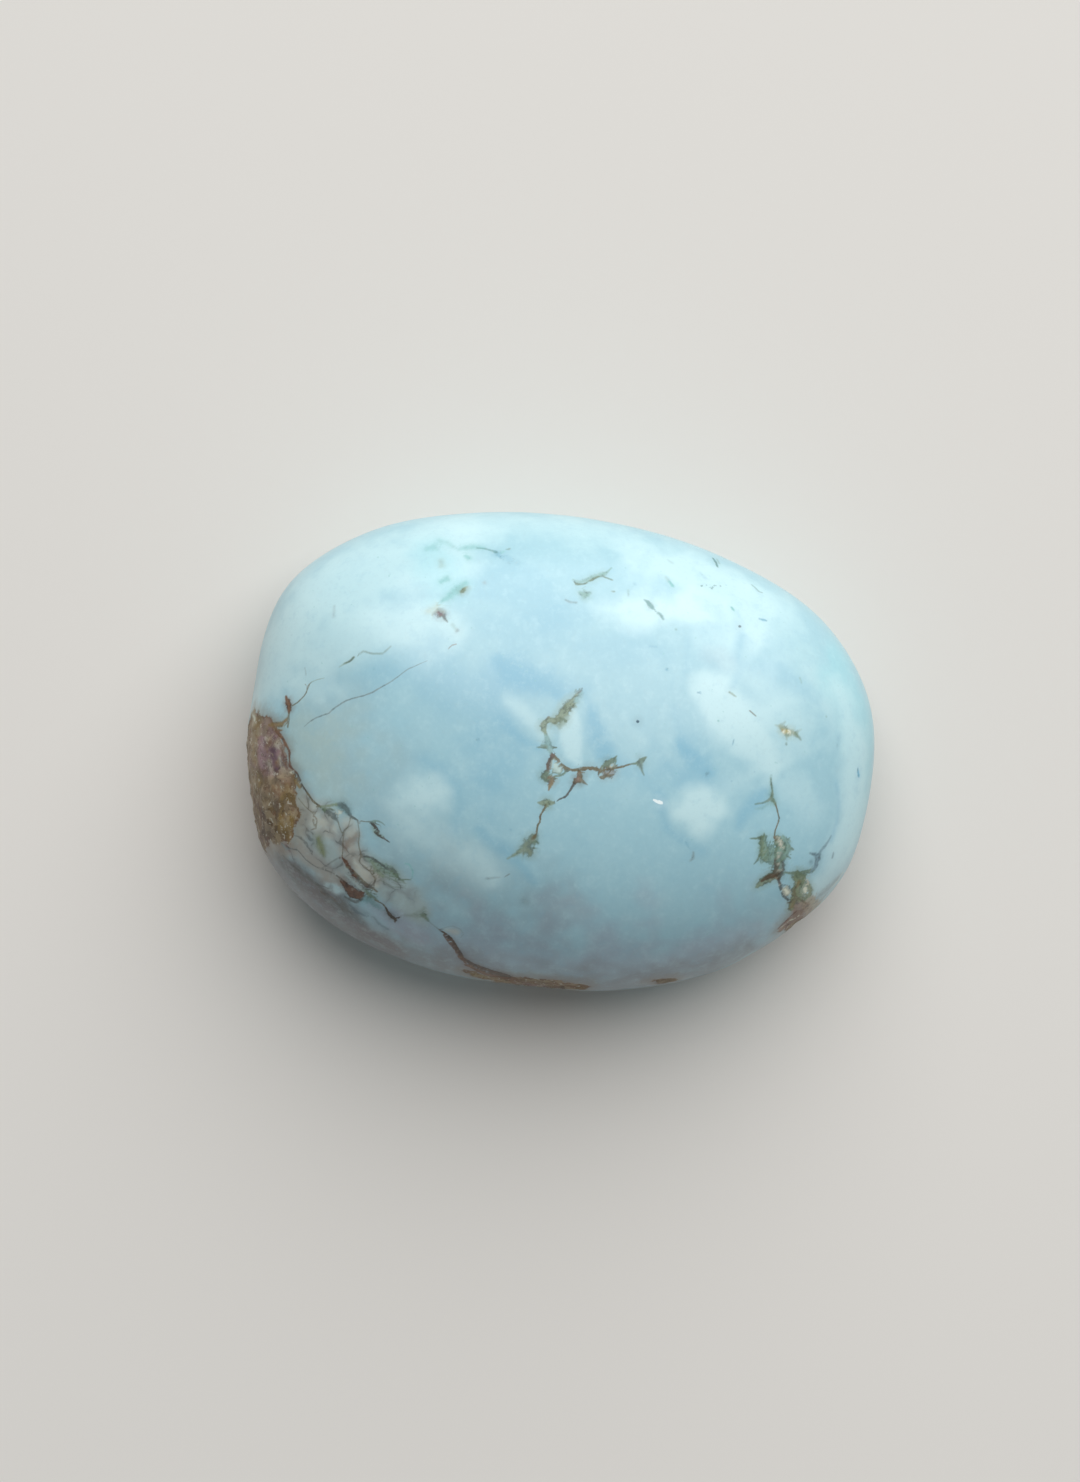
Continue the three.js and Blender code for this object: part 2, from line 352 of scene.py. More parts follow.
    ("grey", 0.45, 0.03, [(305, 668, 0.02), (306, 675, 0.02)]),
    ("olive", 0.6, 0.02, [(312, 682, 0.015), (318, 679, 0.015), (325, 677, 0.01)]),
    ("grey", 0.75, 0.02, [
        (303, 726, 0.01), (309, 721, 0.022), (316, 717, 0.025), (328, 713, 0.03), (335, 707, 0.03),
    ]),
    ("grey", 0.85, 0.02, [
        (335, 707, 0.03), (346, 701, 0.03), (358, 697, 0.025), (371, 693, 0.028), (381, 687, 0.028),
    ]),
    ("grey", 0.75, 0.02, [
        (381, 687, 0.028), (395, 678, 0.022), (409, 669, 0.02), (418, 664, 0.012), (428, 660, 0.008),
    ]),
    ("moss", 0.85, 0.03, [(345, 663, 0.03), (350, 661, 0.05), (354, 657, 0.04)]),
    ("olive", 0.5, 0.04, [(339, 667, 0.02), (345, 663, 0.03)]),
    ("moss", 0.55, 0.05, [
        (360, 654, 0.03), (363, 651, 0.03), (371, 653, 0.03), (383, 653, 0.03), (391, 647, 0.02),
    ]),
    ("grey", 0.3, 0.08, [(334, 617, 0.05), (335, 606, 0.04)]),
    # Teal dashes and specks over the right half.
    ("pine", 0.7, 0.05, [(644, 600, 0.03), (648, 603, 0.08), (651, 607, 0.09), (653, 609, 0.04)]),
    ("pine", 0.85, 0.03, [(647, 603, 0.04), (650, 606, 0.05)]),
    ("pine", 0.65, 0.05, [(658, 613, 0.05), (661, 615, 0.06), (663, 619, 0.04)]),
    ("verdigris", 0.35, 0.08, [(666, 577, 0.04), (669, 581, 0.06)]),
    ("teal", 0.95, 0.05, [(670, 582, 0.05), (673, 586, 0.07)]),
    ("verdigris", 0.3, 0.07, [(668, 560, 0.04), (672, 563, 0.05)]),
    ("pine", 0.8, 0.035, [(713, 558, 0.04), (716, 562, 0.06), (718, 567, 0.04)]),
    ("verdigris", 0.6, 0.06, [(717, 559, 0.04), (720, 564, 0.04)]),
    ("pine", 0.5, 0.04, [(752, 585, 0.04), (760, 592, 0.04), (763, 593, 0.03)]),
    ("teal", 1.0, 0.045, [(732, 608, 0.06), (733.5, 610, 0.055)]),
    ("navy", 0.9, 0.03, [(739, 626, 0.05)]),
    ("blue", 1.0, 0.05, [(760, 619, 0.04), (764, 620, 0.06), (767, 620.5, 0.03)]),
    ("pine", 0.6, 0.03, [(701, 586, 0.04)]),
    ("pine", 0.6, 0.03, [(706, 585, 0.03)]),
    ("pine", 0.6, 0.03, [(711, 588, 0.045)]),
    ("pine", 0.6, 0.03, [(714, 585, 0.03)]),
    ("pine", 0.6, 0.03, [(720, 586, 0.035)]),
    ("blue", 0.4, 0.07, [(634, 584, 0.06)]),
    ("verdigris", 0.4, 0.06, [(628, 590, 0.04), (628, 596, 0.03)]),
    ("blue", 0.3, 0.08, [(700, 573, 0.05), (705, 578, 0.05)]),
    ("verdigris", 0.5, 0.05, [(676, 630, 0.04)]),
    ("verdigris", 0.5, 0.05, [(800, 678, 0.04), (802, 683, 0.03)]),
    ("verdigris", 0.5, 0.05, [(826, 716, 0.04)]),
    ("navy", 1.0, 0.02, [(637.5, 721.7, 0.065)]),
    ("blue", 0.8, 0.05, [(667, 670, 0.06)]),
    ("blue", 0.6, 0.07, [(650, 647, 0.03), (657, 647, 0.03)]),
    ("blue", 0.85, 0.03, [(697, 693, 0.02), (700, 693, 0.05)]),
    ("olive", 0.6, 0.035, [(730, 693, 0.05), (736, 697, 0.03)]),
    ("brown", 0.7, 0.025, [(749, 710, 0.025), (755, 716, 0.03)]),
    ("teal", 0.8, 0.04, [(719, 721.5, 0.04)]),
    ("blue", 0.7, 0.03, [(734, 739, 0.025), (732, 745, 0.03)]),
    ("blue", 0.5, 0.04, [(755, 771, 0.03)]),
    ("blue", 0.6, 0.03, [(731, 781, 0.025)]),
    ("blue", 0.6, 0.1, [(707, 774, 0.09)]),
    ("azure", 0.8, 0.05, [(858, 769, 0.05), (858.5, 775, 0.08)]),
    ("blue", 0.35, 0.12, [(839, 738, 0.08), (838, 747, 0.06)]),
    ("blue", 0.6, 0.07, [(685, 842, 0.03), (689, 848, 0.03)]),
    ("grey", 0.7, 0.05, [(693, 852, 0.04), (693, 858, 0.05), (690, 861, 0.03)]),
    ("blue", 0.7, 0.06, [(478, 740, 0.06)]),
    ("blue", 0.4, 0.08, [(374, 668, 0.04)]),
    ("blue", 0.5, 0.06, [(510, 830, 0.05)]),
    ("grey", 0.75, 0.02, [(504, 877, 0.02), (510, 874, 0.03)]),
    ("grey", 0.45, 0.06, [(486, 879, 0.05), (500, 877, 0.02)]),
    ("grey", 0.3, 0.15, [(525, 901, 0.12)]),
    # The vein that falls into the thorny patch at the right.
    ("verdigris", 0.6, 0.08, [(771, 776, 0.03), (771, 786, 0.06), (771, 797, 0.1), (774, 804, 0.08)]),
    ("moss", 0.8, 0.035, [
        (771, 778, 0.015), (771, 786, 0.035), (772, 792, 0.04), (771, 798, 0.07), (775, 804, 0.05),
    ]),
    ("moss", 0.7, 0.035, [(770, 799, 0.05), (763, 803, 0.035), (755, 804.5, 0.03)]),
    ("verdigris", 0.4, 0.07, [(768, 803, 0.06), (762, 808, 0.05), (756, 809, 0.03)]),
    ("brown", 0.85, 0.022, [
        (775, 804, 0.035), (777, 810, 0.03), (779, 819, 0.035), (778, 824, 0.03), (775, 832, 0.035),
    ]),
    ("brown", 0.85, 0.025, [(775, 832, 0.035), (774.5, 838, 0.045), (776, 846, 0.045)]),
    # The patch's left lobe, open in the middle, with its spurs.
    ("fern", 0.85, 0.04, [(763, 839, 0.14), (764, 848, 0.19), (765, 857, 0.22), (770, 860, 0.14)]),
    ("fern", 0.7, 0.04, [(770, 849, 0.14), (773, 855, 0.17), (771, 861, 0.14)]),
    ("moss", 0.85, 0.035, [(750, 838, 0.025), (756, 839, 0.04), (762, 838, 0.08), (764, 834, 0.03)]),
    ("moss", 0.75, 0.035, [
        (762, 839, 0.07), (761, 847, 0.07), (760, 855, 0.06), (757, 861, 0.04), (754, 864, 0.02),
    ]),
    ("moss", 0.45, 0.04, [(767, 848, 0.04), (768, 854, 0.06), (766, 860, 0.05)]),
    ("lichen", 0.5, 0.04, [(763, 842, 0.05), (762, 850, 0.05), (764, 857, 0.05)]),
    ("moss", 0.6, 0.03, [(764, 860, 0.05), (761, 864, 0.02)]),
    ("fern", 0.6, 0.05, [(758, 848, 0.03), (762, 851, 0.06)]),
    # Its right lobe, with a pale thread through it.
    ("fern", 0.85, 0.04, [(777, 840, 0.13), (781, 848, 0.24), (780, 857, 0.2)]),
    ("fern", 0.7, 0.05, [(783, 837, 0.05), (787, 844, 0.12), (788, 850, 0.12), (784, 857, 0.1)]),
    ("moss", 0.8, 0.035, [(783, 836, 0.02), (785, 841, 0.05), (789, 846, 0.05), (793, 850, 0.03)]),
    ("moss", 0.75, 0.03, [(786, 841, 0.04), (790, 838, 0.02)]),
    ("moss", 0.75, 0.03, [(787, 856, 0.05), (791, 858, 0.02)]),
    ("moss", 0.75, 0.035, [(788, 849, 0.05), (786, 855, 0.07), (782, 860, 0.06)]),
    ("moss", 0.6, 0.035, [(775, 842, 0.05), (777, 848, 0.06), (775, 854, 0.06), (778, 858, 0.06)]),
    ("slate", 0.6, 0.03, [(784, 852, 0.04), (781, 858, 0.04)]),
    ("bone", 0.9, 0.025, [(778, 839, 0.03), (780, 843, 0.05), (782, 848, 0.03)]),
    ("bone", 0.7, 0.025, [(777.5, 853, 0.03), (779, 857, 0.03)]),
    # The trunk under them, its spur to the left and its link to the right.
    ("moss", 0.7, 0.05, [(779, 858, 0.2), (780, 866, 0.24), (779, 874, 0.2)]),
    ("umber", 0.65, 0.035, [(775, 858, 0.05), (776, 866, 0.07), (777, 873, 0.08)]),
    ("slate", 0.75, 0.03, [(783, 861, 0.06), (784, 868, 0.07), (782, 875, 0.07)]),
    ("bone", 0.75, 0.02, [(779, 864.5, 0.035)]),
    ("bone", 0.75, 0.02, [(780, 869.5, 0.035)]),
    ("bone", 0.7, 0.02, [(776, 878.5, 0.04)]),
    ("bone", 0.8, 0.02, [(779.5, 884.5, 0.05)]),
    ("olive", 0.9, 0.04, [(779, 875, 0.16), (772, 877, 0.21), (765, 881, 0.19), (757, 886, 0.08)]),
    ("umber", 0.85, 0.03, [(779, 874, 0.07), (773, 876, 0.11), (768, 878, 0.1), (762, 881, 0.05)]),
    ("umber", 0.8, 0.03, [(779, 878, 0.06), (780, 884, 0.06), (782, 887, 0.03)]),
    ("moss", 0.8, 0.035, [
        (783, 872, 0.03), (790, 873, 0.05), (798, 873, 0.1), (806, 872, 0.09), (813, 870, 0.08),
    ]),
    ("tealgrey", 0.85, 0.05, [
        (812, 871, 0.08), (816, 866, 0.09), (818, 858, 0.13), (815, 854, 0.06), (810, 853, 0.03),
    ]),
    ("tealgrey", 0.7, 0.05, [(817, 857, 0.07), (823, 848, 0.06), (827, 843, 0.05), (831, 836, 0.03)]),
    ("tealgrey", 0.7, 0.04, [(833.5, 853, 0.04), (832.5, 858, 0.05)]),
    ("tealgrey", 0.4, 0.1, [(811, 862, 0.08)]),
    # The lower mass: an olive knot with two round white spots, running down to the edge.
    ("lichen", 0.85, 0.05, [(797, 875, 0.2), (801, 881, 0.27), (797, 887, 0.24)]),
    ("lichen", 0.85, 0.05, [(795, 890, 0.22), (795, 898, 0.24), (793, 907, 0.22)]),
    ("lichen", 0.8, 0.05, [
        (797, 898, 0.2), (803, 901, 0.22), (808, 898, 0.17), (811, 891, 0.1), (808, 884, 0.1),
    ]),
    ("moss", 0.8, 0.035, [(796, 876, 0.05), (803, 878, 0.07), (801, 884, 0.05)]),
    ("brown", 0.7, 0.03, [
        (797, 885, 0.05), (793, 891, 0.05), (795, 898, 0.07), (793, 905, 0.07), (789, 910, 0.04),
    ]),
    ("brown", 0.7, 0.03, [(795, 898, 0.05), (801, 900, 0.05), (806, 903, 0.03)]),
    ("brown", 0.65, 0.03, [(792, 901, 0.05), (787, 903, 0.03)]),
    ("slate", 0.85, 0.03, [(780, 884, 0.05), (781, 890, 0.05), (783, 896, 0.05), (788, 900, 0.05)]),
    ("slate", 0.6, 0.03, [(783, 885, 0.03), (789, 886, 0.04), (791, 891, 0.03)]),
    ("cream", 0.95, 0.035, [(785, 890, 0.12), (787, 893, 0.125)]),
    ("lichen", 0.7, 0.04, [(804, 886, 0.15), (803, 892, 0.15)]),
    ("cream", 0.95, 0.04, [(805, 889, 0.08), (805.5, 892, 0.07)]),
    ("golden", 0.6, 0.03, [(799, 881, 0.05), (797, 886, 0.06)]),
    ("golden", 0.6, 0.04, [(793, 900, 0.06), (792, 907, 0.08)]),
    ("bone", 0.7, 0.035, [(807, 879, 0.04), (809, 883, 0.05)]),
    ("pink", 0.85, 0.1, [(797, 905, 0.28), (801, 911, 0.34), (804, 916, 0.3)]),
    ("tan", 0.85, 0.1, [(802, 902, 0.26), (806, 907, 0.34), (810, 912, 0.3)]),
    ("sand", 0.75, 0.1, [(808, 899, 0.22), (812, 903, 0.3), (816, 907, 0.28)]),
    # The broken edge under the thorny patch: pinkish grains with white and dark between them.
    ("pink", 0.6, 0.12, [(786, 926, 0.14), (794, 920, 0.18), (801, 914, 0.16)]),
    ("sienna", 0.8, 0.04, [(779, 928, 0.06), (784, 923, 0.06), (790, 918, 0.07), (796, 912, 0.06)]),
    ("cream", 0.8, 0.04, [(783, 927, 0.06), (786, 925, 0.03)]),
    ("cream", 0.8, 0.04, [(791, 921, 0.06), (794, 920, 0.04)]),
    ("cream", 0.7, 0.03, [(799, 916, 0.05)]),
    ("umber", 0.7, 0.03, [(788, 926, 0.05), (793, 924, 0.04)]),
    ("umber", 0.6, 0.03, [(784, 930, 0.04)]),
    ("grey", 0.5, 0.2, [(808, 905, 0.12), (818, 897, 0.22), (828, 889, 0.22), (838, 878, 0.14)]),
    ("brown", 0.35, 0.15, [(812, 908, 0.14), (824, 897, 0.16)]),
    # A painted highlight: the light catching the broken rim, laid as a cream line.
    ("cream", 0.6, 0.04, [(832, 887, 0.05), (838, 880, 0.05), (843, 872, 0.04)]),
    # The rust-brown line along the host rock of the left end, and on down the net of fine veins.
    ("rust", 0.9, 0.04, [
        (273, 728, 0.06), (278, 732, 0.09), (283, 738, 0.07), (286, 744, 0.05), (289, 751, 0.07),
    ]),
    ("sienna", 0.9, 0.035, [
        (289, 751, 0.07), (289, 758, 0.04), (289, 765, 0.06), (294, 770, 0.05), (298, 774, 0.05),
    ]),
    ("golden", 0.85, 0.05, [(268, 725, 0.06), (275, 725, 0.12), (282, 724, 0.1), (288, 718, 0.05)]),
    ("dark", 0.85, 0.022, [
        (293, 770, 0.03), (298, 774, 0.05), (300, 779, 0.05), (303, 786, 0.04), (307, 793, 0.035),
    ]),
    ("golden", 0.8, 0.04, [(293, 777, 0.08), (297, 782, 0.09), (300, 788, 0.05)]),
    # Painted sparkle: golden grains with their glitter painted in as bright gold and cream specks.
    ("gold", 0.8, 0.03, [(294, 778, 0.05)]),
    ("gold", 0.8, 0.03, [(299, 786, 0.04)]),
    ("cream", 0.9, 0.03, [(291, 772, 0.06)]),
    ("cream", 0.85, 0.03, [(298, 784, 0.05)]),
    ("brown", 0.85, 0.025, [(307, 793, 0.035), (313, 801, 0.04), (321, 807, 0.05), (325, 810, 0.06)]),
    ("moss", 0.9, 0.035, [(321, 807, 0.05), (325, 810, 0.08)]),
    ("slate", 0.65, 0.04, [(325, 810, 0.08), (329, 812.5, 0.12), (333, 816, 0.12), (337, 821, 0.05)]),
    ("olive", 0.9, 0.04, [(322, 806, 0.03), (330, 805, 0.05), (336, 804, 0.07)]),
    ("pine", 0.35, 0.08, [(337, 805, 0.08), (342, 806, 0.13), (347, 811, 0.12)]),
    ("slate", 0.6, 0.05, [(337, 804, 0.07), (342, 805, 0.12), (347, 810, 0.12), (350, 814, 0.07)]),
    ("cream", 0.6, 0.03, [(339.5, 812.5, 0.06)]),
    ("slate", 0.8, 0.03, [(347, 810, 0.09), (350, 815, 0.06), (358, 820, 0.03)]),
    ("brown", 0.7, 0.02, [(358, 820, 0.025), (365, 821, 0.02), (371, 821, 0.03)]),
    ("dark", 0.9, 0.025, [(371, 821, 0.04), (374, 825, 0.06), (378, 829, 0.055), (380, 831, 0.03)]),
    ("dark", 0.85, 0.025, [(375, 831.5, 0.03), (379, 835, 0.055), (384, 837.5, 0.045), (390, 842, 0.02)]),
    ("olive", 0.6, 0.08, [(373, 827, 0.06), (377, 833, 0.08), (383, 836, 0.05)]),
    ("brown", 0.6, 0.02, [(380, 831, 0.02), (383, 833.5, 0.015)]),
    ("moss", 0.6, 0.03, [(372, 821, 0.03), (378, 820.5, 0.035), (383, 823, 0.03), (386, 825.5, 0.01)]),
    ("brown", 0.6, 0.02, [
        (358.5, 821, 0.022), (359.5, 833, 0.02), (358.5, 846, 0.025), (361, 855, 0.03),
    ]),
    ("brown", 0.6, 0.02, [
        (361, 855, 0.03), (359, 862, 0.02), (364, 866, 0.02), (370, 871, 0.03), (376, 879, 0.035),
    ]),
    ("dark", 0.7, 0.025, [(376, 879, 0.03), (374, 885, 0.04), (367, 886, 0.04), (362, 883, 0.03)]),
    ("fern", 0.6, 0.06, [
        (366, 857, 0.06), (373, 860, 0.12), (380, 866, 0.2), (387, 870, 0.22), (394, 874, 0.18),
    ]),
    ("slate", 0.75, 0.03, [(364, 856, 0.04), (372, 857, 0.05), (378, 861, 0.05), (384, 866, 0.05)]),
    ("slate", 0.6, 0.03, [(386, 869, 0.05), (392, 870, 0.08), (396, 873, 0.05)]),
    ("moss", 0.8, 0.03, [(391, 870, 0.08), (396, 876, 0.07), (400, 880, 0.04), (412, 880, 0.012)]),
    ("olive", 0.7, 0.04, [(372, 861, 0.05), (376, 869, 0.08), (383, 876, 0.08)]),
    ("teal", 0.7, 0.04, [(404, 864, 0.03), (408, 864, 0.03), (413, 871, 0.04), (413, 877, 0.02)]),
    ("brown", 0.65, 0.022, [
        (337.5, 820, 0.025), (339.5, 828, 0.02), (343, 838, 0.025), (343, 849, 0.02), (342, 857, 0.025),
    ]),
    ("rust", 0.4, 0.1, [(345, 849, 0.08), (349, 842, 0.14), (355, 840, 0.15), (358, 833, 0.06)]),
    ("sienna", 0.95, 0.03, [(342, 857, 0.04), (345, 861, 0.08), (348, 866, 0.09), (350, 869, 0.04)]),
    ("sienna", 0.95, 0.03, [(351, 869, 0.05), (354, 874, 0.11), (357, 879, 0.06)]),
    ("dark", 0.75, 0.03, [
        (348, 868, 0.04), (354, 875, 0.06), (361, 882, 0.06), (368, 887, 0.06), (374, 888, 0.05),
    ]),
    ("sienna", 0.95, 0.04, [
        (341, 882, 0.1), (347, 888, 0.21), (353, 893, 0.28), (359, 896, 0.23), (363, 893, 0.12),
    ]),
    ("dark", 0.6, 0.03, [(336, 876, 0.04), (341, 880, 0.05), (346, 884, 0.03)]),
    ("slate", 0.7, 0.04, [(345, 897, 0.06), (355, 902, 0.07), (363, 899, 0.05)]),
    ("pine", 0.45, 0.1, [(364, 900, 0.1), (370, 899, 0.2), (375, 904, 0.14), (380, 908, 0.08)]),
    ("moss", 0.75, 0.04, [(366, 890, 0.06), (371, 896, 0.1), (377, 899, 0.06)]),
    ("brown", 0.8, 0.025, [(371, 896, 0.04), (377, 901, 0.04), (383, 904, 0.035), (386, 908, 0.035)]),
    ("dark", 0.95, 0.022, [(386, 908, 0.045), (389, 914, 0.075), (393, 918, 0.09), (396, 920, 0.05)]),
    ("dark", 0.9, 0.022, [(394, 917.5, 0.05), (398, 918, 0.045), (400.5, 916.5, 0.02)]),
    ("dark", 0.8, 0.022, [(393, 918, 0.05), (395, 923, 0.02)]),
    ("slate", 0.4, 0.08, [(388, 913, 0.1), (394, 918, 0.16)]),
    ("slate", 0.6, 0.03, [
        (281, 843, 0.03), (287, 847, 0.04), (297, 850, 0.03), (306, 860, 0.03), (317, 867, 0.03),
        (332, 873, 0.04),
    ]),
    ("slate", 0.55, 0.03, [(294, 835, 0.02), (301, 837, 0.03), (307, 844, 0.045), (312, 854, 0.03)]),
    ("plum", 0.7, 0.06, [(286, 845, 0.08), (289, 850, 0.06)]),
    ("slate", 0.4, 0.03, [(338, 858, 0.03), (326, 866, 0.03), (320, 869, 0.03)]),
    ("brown", 0.8, 0.03, [
        (347, 867, 0.05), (355, 873, 0.05), (362, 880, 0.05), (370, 886, 0.05), (378, 892, 0.05),
    ]),
    ("brown", 0.6, 0.025, [(312, 812, 0.02), (317, 820, 0.03), (315, 828, 0.03), (310, 830, 0.02)]),
    ("lichen", 0.8, 0.1, [(318, 838, 0.1), (320, 845, 0.15), (323, 851, 0.12), (324, 856, 0.06)]),
    ("umber", 0.3, 0.1, [(319, 842, 0.08), (322, 849, 0.1)]),
    ("grey", 0.7, 0.03, [(282, 844, 0.05), (286, 849, 0.05), (291, 848, 0.03)]),
    ("brown", 0.55, 0.022, [(298, 799, 0.02), (305, 807, 0.02), (314, 814, 0.035), (317, 811, 0.02)]),
    ("brown", 0.5, 0.02, [(314, 814, 0.03), (312, 822, 0.02), (316, 829, 0.02)]),
    ("chalk", 0.9, 0.03, [(345, 875, 0.03), (353, 882, 0.06), (361, 889, 0.06), (365, 892, 0.03)]),
    ("brown", 0.5, 0.02, [(352, 815, 0.02), (349, 826, 0.02), (344, 833, 0.02), (343, 842, 0.02)]),
    ("brown", 0.45, 0.02, [(364, 866, 0.02), (372, 866, 0.02), (378, 872, 0.02), (376, 879, 0.02)]),
    ("moss", 0.5, 0.02, [(384, 876, 0.02), (396, 882, 0.02), (408, 884, 0.015)]),
    ("moss", 0.45, 0.02, [(380, 880, 0.02), (392, 887, 0.02), (406, 888, 0.015)]),
    ("slate", 0.6, 0.03, [(298, 836, 0.03), (303, 841, 0.04), (309, 849, 0.03), (314, 852, 0.02)]),
    # Smoky veinlets between the net and the edge.
    ("slate", 0.55, 0.05, [
        (283, 856, 0.03), (291, 864, 0.06), (303, 874, 0.08), (318, 885, 0.07), (331, 897, 0.05),
    ]),
    ("slate", 0.45, 0.05, [(312, 881, 0.04), (325, 893, 0.1), (339, 905, 0.09), (352, 914, 0.05)]),
    ("navy", 0.4, 0.06, [(350, 905, 0.05), (357, 912, 0.08), (366, 916, 0.05)]),
    ("umber", 0.5, 0.04, [(318, 885, 0.04), (322, 893, 0.06), (334, 899, 0.06), (343, 911, 0.03)]),
    # A painted highlight: the small cream glint at the top of the left end.
    ("cream", 0.85, 0.04, [(252, 716, 0.12), (254, 719, 0.1)]),
    ("navy", 0.35, 0.06, [(374, 917, 0.04), (380, 925, 0.08), (388, 929, 0.04)]),
    # The green-grey blot and the rusty crack that runs down to the lower edge.
    ("moss", 0.75, 0.06, [(417, 914, 0.06), (424, 916, 0.12), (429, 921, 0.05)]),
    ("moss", 0.4, 0.1, [(405, 915, 0.04), (417, 917, 0.08), (424, 908, 0.05)]),
    ("grey", 0.55, 0.03, [(429, 921, 0.03), (435, 926, 0.025), (440, 931, 0.025)]),
    ("umber", 0.95, 0.025, [
        (440, 930, 0.04), (447, 935, 0.06), (453, 942, 0.07), (457, 950, 0.1), (463, 958, 0.08),
    ]),
    ("umber", 0.9, 0.04, [
        (463, 958, 0.09), (471, 964, 0.11), (482, 968, 0.12), (494, 972, 0.14), (507, 976, 0.16),
    ]),
    ("sienna", 0.85, 0.03, [
        (444, 936, 0.04), (450, 944, 0.06), (454, 949, 0.05), (459, 957, 0.05), (466, 963, 0.05),
    ]),
    ("rust", 0.9, 0.05, [(466, 965, 0.08), (478, 971, 0.12), (490, 975, 0.16), (505, 979, 0.2)]),
    ("grey", 0.4, 0.03, [
        (442, 929, 0.02), (452, 926, 0.02), (460, 929, 0.02), (464, 934, 0.02), (460, 938, 0.015),
    ]),
    # A painted highlight: a small bright glint in the middle of the right half, laid as a white fleck.
    ("glint_white", 1.0, 0.02, [(653.5, 799.5, 0.03), (657, 801, 0.06), (661.5, 802.5, 0.065)]),
]

